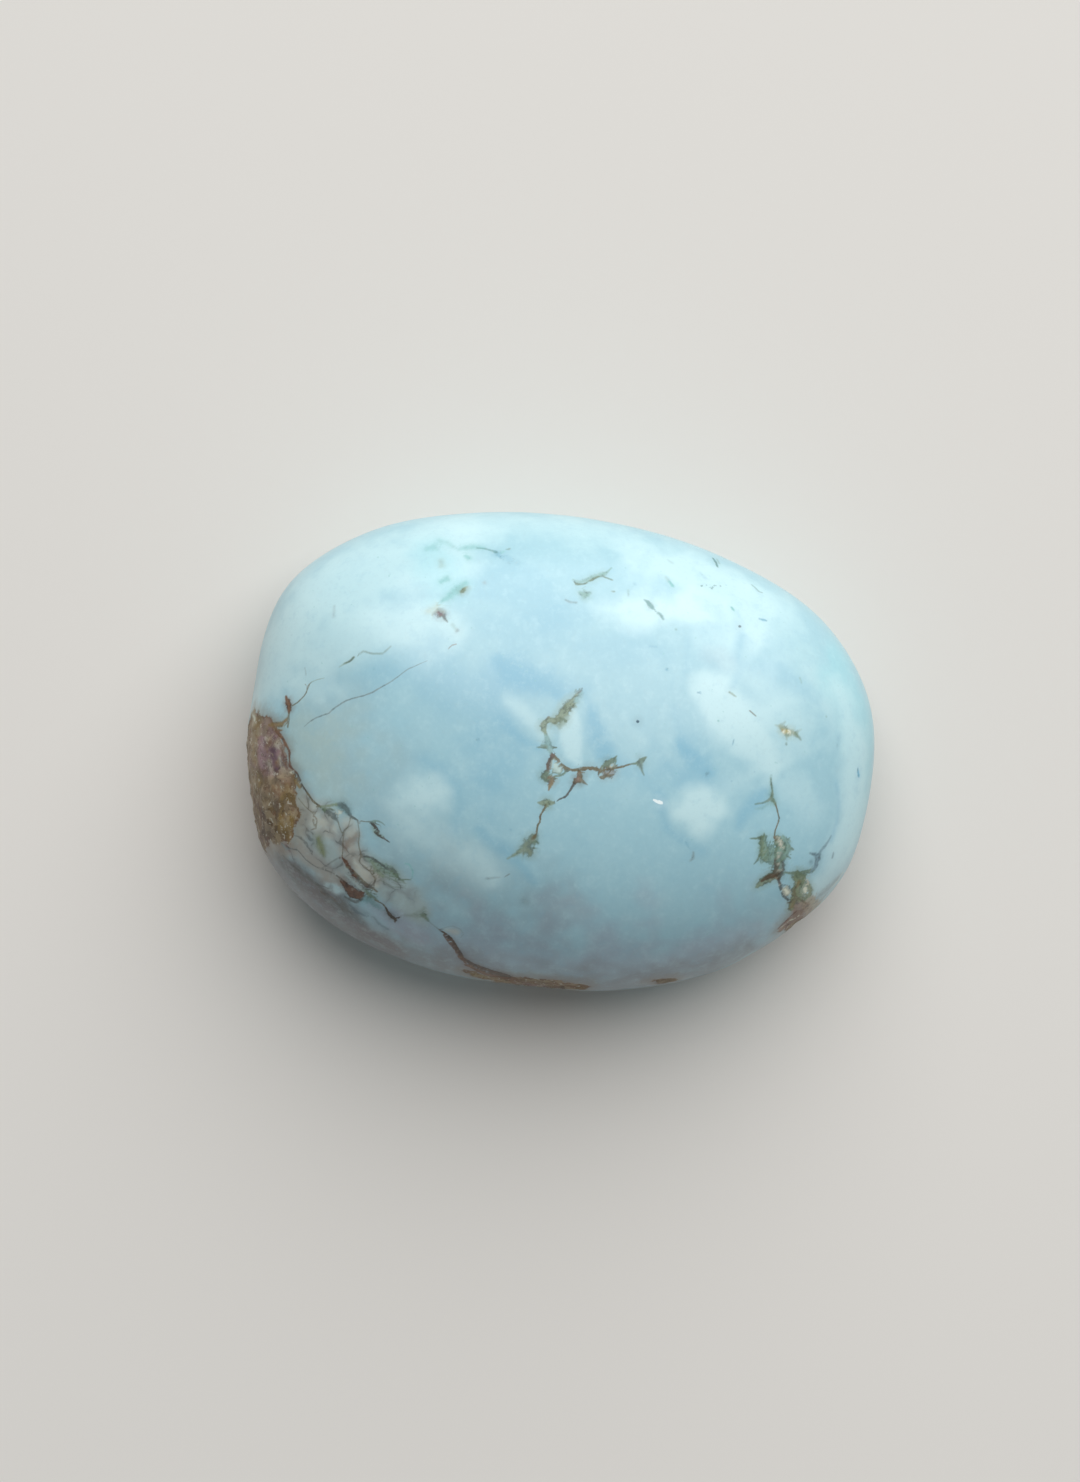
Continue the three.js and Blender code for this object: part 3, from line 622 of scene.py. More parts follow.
# The clouds in the blue of the upper side, sprayed one over the other. A stroke is laid out as a vein is:
# its tint, strength, softness, and points of pixel right, pixel down and half width in millimetres.
CLOUDS = [
    # Broad differences of colour: greyer at the left, lilac along the lower edge, ashen at the lower left.
    # The lilac and the smoke along the lower edge are painted shade.
    ("mist", 0.6, 1.4, [(330, 700, 1.5), (350, 760, 1.8), (420, 850, 1.6)]),
    ("lilac", 0.6, 1.9, [
        (400, 935, 1.0), (480, 955, 1.6), (560, 975, 2.0), (660, 972, 2.0), (740, 940, 1.3),
    ]),
    ("smoke", 0.6, 0.8, [
        (400, 948, 0.9), (440, 960, 1.1), (480, 975, 1.3), (550, 985, 1.6), (620, 987, 1.7),
        (690, 976, 1.4), (740, 954, 0.8),
    ]),
    ("ash", 0.16, 0.9, [(455, 862, 0.9), (500, 888, 1.1), (545, 912, 0.8)]),
    ("ash", 0.18, 1.6, [(400, 890, 1.3), (470, 905, 1.5), (540, 925, 1.2)]),
    ("lilac", 0.25, 1.4, [(520, 925, 0.7), (600, 935, 0.8), (690, 925, 0.7)]),
    # The great white cloud of the upper left, and the paler lobes under it.
    ("milk", 0.7, 0.9, [
        (285, 640, 1.1), (320, 590, 1.7), (370, 570, 2.0), (430, 560, 1.6), (470, 535, 1.0),
    ]),
    ("milk", 0.8, 0.9, [(258, 695, 1.3), (272, 665, 1.6), (290, 625, 1.2)]),
    ("milk", 0.65, 0.7, [(330, 640, 1.3), (385, 625, 1.1), (440, 628, 0.9)]),
    ("aqua", 0.5, 0.6, [(428, 548, 0.7), (440, 585, 0.7), (460, 590, 0.5)]),
    ("milk", 0.6, 0.4, [(396, 640, 0.25), (420, 638, 0.4), (448, 640, 0.5)]),
    ("milk", 0.55, 0.5, [(300, 686, 0.4), (322, 688, 0.5), (340, 692, 0.3)]),
    ("sage", 0.7, 0.9, [(300, 730, 0.7), (320, 750, 1.1), (325, 780, 0.9)]),
    ("sage", 0.45, 0.9, [(345, 720, 0.7), (365, 770, 0.9), (350, 800, 0.7)]),
    # The pale band along the top and the brightest clouds of the upper right.
    ("milk", 0.5, 0.9, [(430, 530, 0.9), (520, 520, 0.8), (610, 535, 0.9)]),
    ("milk", 0.8, 0.8, [(632, 560, 0.8), (680, 565, 1.2), (725, 590, 1.3), (755, 615, 1.0)]),
    ("milk", 0.9, 0.5, [(600, 608, 0.35), (625, 612, 0.6), (660, 612, 0.7), (690, 610, 0.8)]),
    ("milk", 0.5, 0.8, [(770, 600, 0.8), (800, 650, 1.0), (822, 700, 1.0), (838, 730, 0.6)]),
    ("aqua", 0.7, 0.8, [(835, 660, 0.9), (858, 720, 1.2), (866, 780, 1.3), (858, 830, 1.0)]),
    ("milk", 0.7, 0.6, [
        (845, 700, 0.6), (856, 760, 0.9), (853, 820, 1.0), (838, 862, 0.9), (820, 886, 0.6),
    ]),
    ("milk", 0.45, 0.5, [(735, 650, 0.5), (700, 640, 0.4)]),
    # The white area of the right, under the blue streaks.
    ("milk", 0.85, 0.45, [
        (700, 690, 0.55), (722, 700, 0.9), (742, 722, 1.0), (758, 745, 0.8), (768, 765, 0.6),
    ]),
    ("milk", 0.5, 0.5, [(762, 715, 0.8), (800, 725, 0.9), (782, 755, 0.8)]),
    ("milk", 0.5, 0.3, [(692, 680, 0.3), (704, 678, 0.35), (716, 684, 0.3)]),
    # Two paler lobes and the blue between them.
    ("deep", 0.4, 0.3, [(485, 590, 0.5), (505, 580, 0.9), (530, 592, 1.0), (545, 610, 0.8)]),
    ("deep", 0.4, 0.35, [
        (490, 625, 0.6), (515, 632, 0.7), (545, 630, 0.8), (562, 606, 0.5), (585, 614, 0.45),
    ]),
    ("deep", 0.35, 0.6, [(590, 645, 0.5), (625, 650, 0.7), (668, 655, 0.5)]),
    # Deep blue: the band, its streak, the arc beside the cell and the patch at the right.
    ("deep", 0.6, 0.8, [
        (375, 672, 0.4), (415, 668, 0.9), (455, 682, 1.2), (480, 715, 1.1), (500, 760, 0.9),
    ]),
    ("deep", 0.95, 0.5, [
        (490, 665, 0.4), (510, 672, 0.6), (535, 684, 0.6), (560, 690, 0.5), (580, 690, 0.3),
    ]),
    ("sky", 0.75, 0.35, [(497, 664, 0.2), (515, 676, 0.3), (535, 684, 0.3), (555, 694, 0.25)]),
    ("milk", 0.55, 0.25, [(508, 702, 0.2), (522, 712, 0.35), (535, 724, 0.3), (543, 736, 0.2)]),
    ("sky", 0.8, 0.2, [(500, 720, 0.12), (513, 732, 0.2), (526, 742, 0.16), (540, 749, 0.06)]),
    ("deep", 0.6, 0.35, [(490, 700, 0.3), (505, 722, 0.4), (525, 745, 0.3)]),
    ("milk", 0.75, 0.14, [
        (574, 712, 0.16), (571, 724, 0.32), (571, 740, 0.36), (573, 754, 0.3), (578, 762, 0.14),
    ]),
    ("sky", 0.8, 0.28, [
        (583, 694, 0.1), (590, 708, 0.2), (596, 726, 0.22), (600, 745, 0.24), (608, 762, 0.18),
    ]),
    ("deep", 0.5, 0.35, [(598, 740, 0.3), (612, 762, 0.3), (640, 772, 0.3), (655, 790, 0.2)]),
    ("sky", 0.5, 0.4, [(674, 706, 0.12), (678, 728, 0.25), (684, 745, 0.4)]),
    ("sky", 0.75, 0.35, [(676, 745, 0.35), (688, 752, 0.42), (698, 764, 0.35), (708, 772, 0.2)]),
    ("deep", 0.7, 0.6, [(655, 745, 0.3), (670, 770, 0.4), (700, 785, 0.3), (728, 785, 0.2)]),
    # The blue streaks above the white area.
    ("deep", 0.7, 0.22, [(742, 636, 0.06), (738, 655, 0.14), (740, 672, 0.14), (733, 688, 0.06)]),
    ("deep", 0.5, 0.25, [(688, 640, 0.1), (686, 668, 0.2), (680, 690, 0.16)]),
    ("deep", 0.45, 0.3, [(755, 668, 0.3), (790, 676, 0.35), (815, 700, 0.2)]),
    ("lilac", 0.15, 0.3, [(708, 655, 0.3), (728, 662, 0.3)]),
    ("milk", 0.35, 0.5, [(738, 672, 0.4), (758, 684, 0.7), (770, 700, 0.5)]),
    # The two round nodules, with blue shadows beside them.
    ("deep", 0.7, 0.35, [
        (424, 760, 0.15), (440, 772, 0.3), (455, 786, 0.35), (462, 806, 0.3), (455, 830, 0.2),
    ]),
    ("milk", 0.9, 0.5, [(404, 797, 0.6), (420, 794, 0.85), (437, 796, 0.6)]),
    ("milk", 0.35, 0.6, [(385, 800, 0.5), (405, 818, 0.6), (430, 812, 0.5)]),
    ("deep", 0.8, 0.3, [
        (661, 796, 0.12), (662, 812, 0.2), (668, 830, 0.15), (684, 843, 0.12), (700, 852, 0.1),
    ]),
    ("deep", 0.4, 0.5, [(478, 782, 0.5), (486, 802, 0.6), (490, 822, 0.5)]),
    ("deep", 0.85, 0.3, [(738, 826, 0.2), (745, 812, 0.28), (756, 800, 0.25), (766, 792, 0.12)]),
    ("milk", 1.0, 0.36, [(684, 812, 0.52), (698, 808, 0.78), (714, 809, 0.68), (704, 821, 0.55)]),
    ("milk", 0.4, 0.4, [(720, 795, 0.4), (735, 782, 0.4), (750, 776, 0.3)]),
    # The pale trail of the lower left middle and the blue diagonal above it.
    ("milk", 0.5, 0.6, [(412, 834, 0.6), (442, 846, 0.7), (470, 858, 0.7), (492, 878, 0.6)]),
    ("milk", 0.4, 0.3, [(468, 856, 0.3), (482, 860, 0.3), (494, 880, 0.3)]),
    ("sky", 0.5, 0.28, [
        (476, 828, 0.14), (492, 842, 0.22), (510, 855, 0.24), (524, 868, 0.18), (534, 882, 0.1),
    ]),
    # The pale lobe beside the falling vein of the right, with a bluer rim.
    ("body", 0.75, 0.25, [(795, 785, 0.75), (808, 785, 1.0), (812, 815, 1.0), (806, 838, 0.7)]),
    ("milk", 0.4, 0.4, [(800, 790, 0.6), (812, 812, 0.8)]),
    ("sky", 0.5, 0.16, [(836, 782, 0.06), (839, 800, 0.1), (837, 822, 0.1), (831, 840, 0.06)]),
    # Around the net of the lower left: chalky grey, then smoky at the edge, with darker and bluer blots. The
    # smoke and the dark ash and slate blots at the edge are partly a smoky grey zone of the stone and partly
    # painted shade.
    ("smoke", 1.0, 0.7, [
        (258, 838, 1.2), (268, 856, 1.5), (286, 880, 1.6), (310, 902, 1.7), (338, 922, 1.8),
        (370, 942, 1.5),
    ]),
    ("smoke", 0.7, 0.8, [(385, 948, 1.1), (420, 963, 1.1), (450, 975, 0.9)]),
    ("chalk", 0.95, 0.4, [
        (303, 795, 0.4), (314, 822, 0.95), (330, 842, 1.1), (350, 860, 0.9), (366, 876, 0.75),
    ]),
    ("chalk", 0.85, 0.4, [(372, 872, 0.5), (390, 888, 0.75), (405, 896, 0.7), (416, 912, 0.5)]),
    ("putty", 0.95, 0.4, [
        (272, 846, 0.5), (288, 846, 0.6), (302, 852, 0.8), (318, 866, 0.7), (334, 878, 0.5),
    ]),
    ("putty", 0.6, 0.3, [(345, 846, 0.4), (356, 862, 0.5), (368, 876, 0.4)]),
    ("bone", 0.6, 0.25, [(350, 852, 0.3), (360, 868, 0.35), (368, 874, 0.3)]),
    ("ash", 0.5, 0.15, [(322, 884, 0.15), (330, 888, 0.25), (338, 893, 0.3), (345, 900, 0.2)]),
    ("bone", 0.6, 0.15, [(364, 870, 0.25), (368, 877, 0.32), (374, 884, 0.2)]),
    ("bone", 0.5, 0.15, [(326, 822, 0.3), (330, 832, 0.3)]),
    ("bone", 0.5, 0.15, [(350, 822, 0.3), (352, 832, 0.3)]),
    ("bone", 0.5, 0.25, [(308, 804, 0.35), (318, 830, 0.4)]),
    ("bone", 0.5, 0.25, [(294, 800, 0.25), (301, 820, 0.35), (298, 838, 0.35)]),
    ("lilac", 0.6, 0.3, [(372, 905, 0.3), (395, 922, 0.5), (420, 938, 0.4)]),
    ("ash", 0.8, 0.4, [(264, 842, 0.35), (268, 852, 0.4), (278, 860, 0.3)]),
    ("slate", 0.8, 0.35, [(285, 864, 0.4), (299, 874, 0.7), (312, 886, 0.6), (324, 895, 0.4)]),
    ("slate", 0.75, 0.35, [(328, 900, 0.35), (340, 907, 0.5), (352, 915, 0.4), (362, 923, 0.2)]),
    ("slate", 0.35, 0.6, [(335, 922, 0.5), (360, 935, 0.5)]),
    ("putty", 0.5, 0.3, [(318, 877, 0.25), (330, 886, 0.25)]),
    ("ash", 0.75, 0.3, [(290, 866, 0.35), (306, 880, 0.55), (326, 902, 0.6)]),
    ("slate", 0.45, 0.18, [(296, 866, 0.2), (306, 874, 0.25)]),
    ("slate", 0.4, 0.2, [(322, 896, 0.2), (334, 906, 0.25)]),
    ("ash", 0.5, 0.25, [(352, 926, 0.4), (372, 938, 0.35), (396, 950, 0.3)]),
    ("milk", 0.8, 0.1, [(327, 886, 0.16), (335, 889, 0.24), (342, 890, 0.12)]),
    ("navy", 0.35, 0.16, [(366, 914, 0.14)]),
    ("navy", 0.35, 0.16, [(386, 929, 0.12)]),
    ("bone", 0.5, 0.1, [(446, 930, 0.1), (456, 932, 0.14)]),
]

# Host rock that shows through at the left end, and what colours it there.
ROCK = [
    [
        (251, 730, 0.8), (250, 742, 1.2), (250, 765, 1.6), (252, 795, 1.8), (255, 815, 1.5),
        (260, 827, 0.8),
    ],
    [(256, 725, 0.5), (265, 734, 0.75), (268, 752, 0.95), (266, 770, 1.0), (276, 785, 1.1)],
    [(276, 785, 1.0), (279, 803, 1.05), (278, 820, 1.0), (276, 832, 0.6)],
    [(262, 785, 0.9), (265, 805, 1.0), (266, 825, 0.8)],
    [(225, 748, 1.3), (222, 770, 1.9), (225, 795, 2.1), (236, 825, 1.4)],
    [
        (470, 973, 0.25), (486, 978, 0.5), (505, 981, 0.7), (530, 984, 0.8), (556, 986, 0.8),
        (577, 987, 0.5),
    ],
    [(500, 984, 0.8), (520, 990, 1.0), (545, 994, 0.9)],
    [(492, 1000, 0.7), (512, 1004, 1.2), (536, 1004, 1.4), (560, 1002, 0.9)],
    [(657, 981, 0.25), (666, 981, 0.4)],
    [(782, 929, 0.25), (790, 922, 0.4), (798, 915, 0.35), (803, 910, 0.15)],
    [(790, 922, 0.4), (799, 927, 0.55)],
]
ROCK_TINTS = [
    ("tan", 0.85, 0.3, [(252, 725, 0.6), (249, 760, 0.9), (250, 800, 0.9)]),
    ("golden", 0.6, 0.3, [(258, 730, 0.5), (256, 775, 0.5)]),
    ("mauve", 0.98, 0.25, [(268, 736, 0.7), (270, 755, 0.9), (275, 777, 0.7)]),
    ("plum", 0.95, 0.12, [(266, 743, 0.16), (272, 749, 0.2)]),
    ("plum", 0.95, 0.12, [(272, 758, 0.16), (277, 766, 0.2), (274, 772, 0.14)]),
    ("bone", 0.8, 0.1, [(279, 740, 0.1), (282, 748, 0.12)]),
    ("bone", 0.8, 0.1, [(281, 760, 0.18), (284, 768, 0.16)]),
    ("bone", 0.7, 0.1, [(266, 738, 0.12)]),
    ("bone", 0.8, 0.1, [(276, 744, 0.14)]),
    ("bone", 0.7, 0.1, [(268, 764, 0.14), (270, 770, 0.1)]),
    ("plum", 0.7, 0.1, [(282, 756, 0.1), (284, 764, 0.08)]),
    ("tan", 0.9, 0.2, [(268, 786, 0.35), (284, 782, 0.4)]),
    ("rust", 0.75, 0.14, [(264, 786, 0.12), (272, 790, 0.16), (288, 788, 0.2)]),
    ("golden", 0.95, 0.25, [(290, 803, 0.6), (292, 822, 0.6), (280, 838, 0.6)]),
    ("sienna", 0.75, 0.3, [(254, 806, 0.5), (262, 811, 0.45), (262, 830, 0.5)]),
    ("umber", 0.6, 0.25, [(270, 802, 0.25), (271, 817, 0.35), (266, 832, 0.4), (284, 838, 0.3)]),
    ("golden", 0.6, 0.15, [(264, 806, 0.25), (278, 824, 0.25)]),
    # Darker umber at the rock's lower left: the rock's own umber, deepened as painted shade.
    ("umber", 0.85, 0.2, [(264, 814, 0.3), (270, 821, 0.4), (264, 834, 0.4)]),
    ("umber", 0.6, 0.3, [(478, 980, 0.6), (590, 990, 0.7)]),
    ("rust", 0.6, 0.2, [(480, 980, 0.4), (520, 982, 0.5), (585, 988, 0.3)]),
    ("tan", 0.8, 0.2, [(545, 980, 0.3), (575, 984, 0.3)]),
    ("mauve", 0.7, 0.2, [(784, 926, 0.4), (798, 918, 0.4)]),
]
NET = [
    [
        (306, 800, 0.5), (320, 826, 1.1), (338, 850, 1.2), (358, 874, 0.8), (378, 886, 0.7),
        (402, 894, 0.6),
    ],
    [(280, 850, 0.6), (300, 872, 0.6), (325, 890, 0.5)],
]

# The underside, which the photograph doesn't show, in pixels as though the stone were clear: the host rock
# of the left end runs on under it, and veins join the rock, the lower edge and the thorny patch of the right.
BACK_CLOUDS = [
    ("mist", 0.5, 1.5, [(430, 690, 2.5), (600, 720, 3.0), (720, 780, 2.0)]),
    ("milk", 0.75, 0.9, [(420, 640, 1.2), (500, 610, 1.8), (590, 640, 1.4)]),
    ("milk", 0.8, 0.7, [(700, 700, 0.9), (740, 740, 1.3), (720, 800, 0.9)]),
    ("deep", 0.7, 0.8, [(560, 700, 0.8), (600, 760, 1.0), (580, 830, 0.8)]),
    ("deep", 0.6, 0.6, [(800, 660, 0.7), (830, 730, 0.8)]),
    ("milk", 0.7, 0.5, [(500, 800, 0.8), (520, 840, 0.9)]),
    ("chalk", 0.7, 0.8, [(330, 760, 1.2), (360, 830, 1.4), (420, 880, 1.2)]),
    ("lilac", 0.5, 1.0, [(480, 930, 0.9), (600, 940, 1.0), (700, 920, 0.9)]),
    ("ash", 0.6, 0.7, [(265, 850, 0.8), (310, 900, 0.9), (360, 935, 0.8)]),
]
BACK_ROCK = [
    [(250, 740, 1.6), (252, 770, 2.2), (256, 800, 2.3), (264, 828, 1.5)],
    [(262, 745, 1.4), (275, 770, 1.9), (290, 800, 1.8), (282, 835, 1.2)],
    [(290, 800, 1.5), (318, 815, 1.0), (338, 838, 0.6)],
    [
        (515, 990, 1.0), (538, 992, 1.1), (548, 980, 0.9), (562, 970, 0.8), (586, 966, 0.5),
        (606, 970, 0.25),
    ],
    [(535, 980, 0.8), (520, 962, 0.4), (498, 955, 0.2)],
    [(799, 927, 0.5), (797, 912, 0.7), (782, 900, 0.5), (776, 890, 0.2)],
    [(797, 912, 0.5), (812, 898, 0.4), (822, 885, 0.2)],
    [(632, 848, 0.3), (650, 842, 0.5), (668, 850, 0.3)],
]
BACK_ROCK_TINTS = [
    ("mauve", 0.8, 0.5, [(262, 755, 0.9), (280, 780, 0.7)]),
    ("golden", 0.8, 0.5, [(288, 818, 0.9), (320, 820, 0.6)]),
    ("umber", 0.7, 0.5, [(256, 800, 1.0)]),
    ("rust", 0.6, 0.4, [(252, 770, 0.6)]),
    ("umber", 0.6, 0.4, [(505, 980, 0.9)]),
    ("golden", 0.6, 0.4, [(560, 975, 0.8)]),
    ("tan", 0.6, 0.3, [(640, 848, 0.4)]),
]
BACK_NET = [
    [(340, 800, 0.8), (370, 840, 1.0), (410, 870, 0.7)],
    [(640, 850, 0.9), (690, 835, 0.7), (730, 850, 0.5)],
]
BACK_VEINS = [
    ("moss", 0.75, 0.03, [
        (608, 498, 0.015), (622, 505, 0.05), (636, 532, 0.06), (652, 542, 0.04), (668, 540, 0.07),
    ]),
    ("moss", 0.7, 0.03, [(668, 540, 0.07), (690, 560, 0.03), (706, 580, 0.015)]),
    ("rust", 0.75, 0.03, [(652, 542, 0.06), (646, 560, 0.04), (655, 578, 0.05), (650, 596, 0.02)]),
    ("olive", 0.7, 0.04, [(664, 538, 0.08), (676, 530, 0.05), (684, 512, 0.03)]),
    ("brown", 0.9, 0.03, [
        (318, 805, 0.12), (345, 792, 0.07), (372, 796, 0.05), (398, 784, 0.06), (430, 772, 0.04),
    ]),
    ("brown", 0.85, 0.03, [(430, 772, 0.04), (452, 776, 0.06), (480, 764, 0.03), (505, 768, 0.015)]),
    ("moss", 0.8, 0.03, [(398, 784, 0.05), (408, 762, 0.05), (402, 742, 0.03), (412, 722, 0.015)]),
    ("rust", 0.9, 0.03, [
        (520, 965, 0.12), (528, 940, 0.07), (545, 918, 0.06), (562, 905, 0.08), (590, 884, 0.05),
    ]),
    ("brown", 0.9, 0.03, [(590, 884, 0.05), (612, 868, 0.08), (636, 856, 0.1)]),
    ("brown", 0.85, 0.03, [(562, 905, 0.06), (548, 884, 0.04), (530, 874, 0.03), (512, 852, 0.015)]),
    ("moss", 0.85, 0.03, [
        (662, 840, 0.1), (684, 822, 0.06), (712, 822, 0.07), (735, 806, 0.05), (764, 812, 0.03),
    ]),
    ("brown", 0.9, 0.03, [
        (795, 895, 0.14), (776, 880, 0.08), (756, 874, 0.06), (735, 858, 0.06), (722, 838, 0.03),
    ]),
    ("olive", 0.8, 0.04, [(735, 858, 0.06), (712, 862, 0.05), (692, 852, 0.05), (670, 852, 0.08)]),
    ("grey", 0.7, 0.025, [
        (640, 700, 0.015), (662, 690, 0.03), (700, 672, 0.03), (742, 668, 0.02), (770, 655, 0.01),
    ]),
    ("grey", 0.6, 0.025, [(450, 690, 0.01), (472, 672, 0.025), (500, 660, 0.025), (526, 640, 0.015)]),
    ("teal", 0.8, 0.05, [(520, 590, 0.03), (540, 586, 0.08), (556, 592, 0.05)]),
    ("dark", 0.85, 0.03, [(604, 620, 0.05), (609, 625, 0.03)]),
    ("olive", 0.7, 0.04, [(828, 780, 0.03), (838, 792, 0.08), (842, 806, 0.03)]),
]


def deselect_all():
    bpy.ops.object.select_all(action="DESELECT")


def select_only(piece):
    deselect_all()
    piece.select_set(True)
    bpy.context.view_layer.objects.active = piece


def apply_modifier(piece, kind, **settings):
    """Adds a modifier to the piece with its settings and applies it."""
    select_only(piece)
    modifier = piece.modifiers.new(kind.title(), kind)
    for name, value in settings.items():
        setattr(modifier, name, value)
    bpy.ops.object.modifier_apply(modifier=modifier.name)


def stone_blank(node):
    """The nugget before it is coloured: the construction's own form, welded, remeshed and polished smooth."""
    select_only(node)
    bpy.ops.object.duplicate()
    stone = bpy.context.active_object
    stone.name = "turquoise_nugget"
    for key in list(stone.keys()):
        del stone[key]
    stone.parent = None
    stone.data.materials.clear()
    bpy.ops.object.mode_set(mode="EDIT")
    bpy.ops.mesh.select_all(action="SELECT")
    bpy.ops.mesh.remove_doubles(threshold=WELD * MM)
    bpy.ops.object.mode_set(mode="OBJECT")
    apply_modifier(stone, "REMESH", mode="VOXEL", voxel_size=VOXEL * MM)
    apply_modifier(stone, "SMOOTH", factor=SMOOTHING_FACTOR, iterations=SMOOTHING_ROUNDS)
    select_only(stone)
    bpy.ops.object.shade_smooth()
    return stone


def store(stone, name, kind, values):
    """Keeps one value for each corner of the mesh under a name that the material reads."""
    field = {"FLOAT": "value", "FLOAT_VECTOR": "vector", "FLOAT_COLOR": "color"}[kind]
    attribute = stone.data.attributes.new(name, kind, "POINT")
    attribute.data.foreach_set(field, np.ascontiguousarray(values, np.float32).ravel())


def smooth_step(values, low, high):
    share = np.clip((values - low) / (high - low), 0, 1)
    return share * share * (3 - 2 * share)


class Skin:
    """The stone's surface, ready to be marked: its corners and the ways to find a place on it."""

    def __init__(self, stone):
        flat = np.empty(len(stone.data.vertices) * 3, np.float32)
        stone.data.vertices.foreach_get("co", flat)
        self.places = flat.reshape(-1, 3).astype(float)
        self.count = len(self.places)
        self.surface = BVHTree.FromPolygons(
            [v.co for v in stone.data.vertices], [p.vertices for p in stone.data.polygons]
        )
        self.finder = KDTree(self.count)
        for i, place in enumerate(self.places):
            self.finder.insert(place, i)
        self.finder.balance()
        self.wander = np.array([self.drift(place) for place in self.places])

    def drift(self, place):
        """A value that wanders between about -1 and 1 over the surface, so that no edge is a clean curve."""
        at = Vector(place) / MM / DRIFT_WIDTH
        return noise.noise(at) + DRIFT_FINE_SHARE * noise.noise(at * FINER + DRIFT_SHIFT)

    def dome(self, px, py):
        """The place on the upper side that a pixel of the photograph shows."""
        aim = photo_point(px, py) - EYE
        found = self.surface.ray_cast(EYE, aim.normalized())[0]
        return found if found is not None else self.surface.find_nearest(photo_point(px, py))[0]

    def back(self, px, py):
        """The place on the underside that lies straight below a place in the plane of the girdle."""
        level = photo_point(px, py)
        found = self.surface.ray_cast(level - Vector((0, 0, EYE_HEIGHT * MM)), Vector((0, 0, 1)))[0]
        return found if found is not None else self.surface.find_nearest(level)[0]

    def swung(self, place, swing):
        """The place moved over the surface by up to about that swing, so that no vein runs ruler-straight."""
        at = place / MM / SWING_WIDTH
        shift = noise.noise_vector(at) + SWING_FINE_SHARE * noise.noise_vector(at * FINER + SWING_SHIFT)
        return self.surface.find_nearest(place + shift * swing * MM)[0]

    def outside(self, find, points):
        """How far each corner lies outside a chain of beads strung on the surface, in millimetres."""
        beads = [(np.array(find(px, py)), radius) for px, py, radius in points]
        nearest = np.full(self.count, FAR)
        for (start, start_radius), (end, end_radius) in zip(beads, beads[1:] or beads):
            along = end - start
            share = np.clip((self.places - start) @ along / max(along @ along, TINY), 0, 1)
            gap = np.linalg.norm(self.places - start - share[:, None] * along, axis=1) / MM
            nearest = np.minimum(nearest, gap - start_radius - (end_radius - start_radius) * share)
        return nearest

    def airbrush(self, paint, find, strokes):
        """Sprays soft strokes of colour over the paint. A stroke is laid out as a vein is."""
        for tint, strength, softness, points in strokes:
            edge = self.outside(find, points) + self.wander * softness
            cover = strength * (1 - smooth_step(edge, -softness, softness))
            paint += (np.array(linear(TINTS[tint])) - paint) * cover[:, None]


def store_paint(stone, skin, name, base, dome_strokes, back_strokes):
    """Keeps a colour for each corner: the base tint, with the strokes of both sides over it."""
    paint = np.tile(linear(TINTS[base]), (skin.count, 1))
    skin.airbrush(paint, skin.back, back_strokes)
    skin.airbrush(paint, skin.dome, dome_strokes)
    store(stone, name, "FLOAT_COLOR", np.column_stack([paint, np.ones(skin.count)]))


def store_edge(stone, skin, name, dome_chains, back_chains):
    """Keeps how far each corner lies outside an area that chains of beads fill, and returns it."""
    edges = [skin.outside(skin.dome, points) for points in dome_chains]
    edges += [skin.outside(skin.back, points) for points in back_chains]
    edge = np.min(edges, axis=0)
    store(stone, name, "FLOAT", edge)
    return edge


class Veins:
    """What each corner of the mesh knows of the vein that covers it or lies nearest."""

    def __init__(self, skin):
        self.skin = skin
        self.margin = np.full(skin.count, NO_VEIN_MARGIN)
        self.offset = np.tile([0.0, 0.0, FAR], (skin.count, 1))
        self.form = np.tile([0.0, 0.0, NO_VEIN_SOFTNESS], (skin.count, 1))
        self.tint = np.ones((skin.count, 4))

    def draw(self, find, swing, tint, strength, softness, points):
        """Lays one vein along its points. Where veins cross, the one that covers more is kept."""
        if len(points) == 1:
            points = points * 2
        colour = linear(TINTS[tint])
        for (ax, ay, a_width), (bx, by, b_width) in zip(points, points[1:]):
            steps = max(1, round(math.hypot(bx - ax, by - ay) / PIXELS_PER_MM / VEIN_STEP))
            for step in range(steps):
                shares = (step / steps, (step + 1) / steps)
                ends = [self.skin.swung(find(ax + (bx - ax) * s, ay + (by - ay) * s), swing) for s in shares]
                widths = [a_width + (b_width - a_width) * s for s in shares]
                self.draw_piece(ends, widths, colour, strength, softness)

    def draw_piece(self, ends, widths, colour, strength, softness):
        """Lays one straight piece of a vein between two places on the surface."""
        middle = (ends[0] + ends[1]) / 2
        reach = (ends[1] - ends[0]).length / 2 + (VEIN_REACH + max(widths)) * MM
        near = np.array([hit[1] for hit in self.skin.finder.find_range(middle, reach)], int)
        if not len(near):
            return
        start, along = np.array(ends[0]), np.array(ends[1] - ends[0])
        toward = self.skin.places[near] - start
        share = np.clip(toward @ along / max(along @ along, TINY), 0, 1)
        offset = (start + share[:, None] * along - self.skin.places[near]) / MM
        width = widths[0] + (widths[1] - widths[0]) * share
        margin = np.linalg.norm(offset, axis=1) - width
        better = margin < self.margin[near]
        kept = near[better]
        self.margin[kept] = margin[better]
        self.offset[kept] = offset[better]
        self.form[kept, 0] = width[better]
        self.form[kept, 1] = strength
        self.form[kept, 2] = softness
        self.tint[kept, :3] = colour


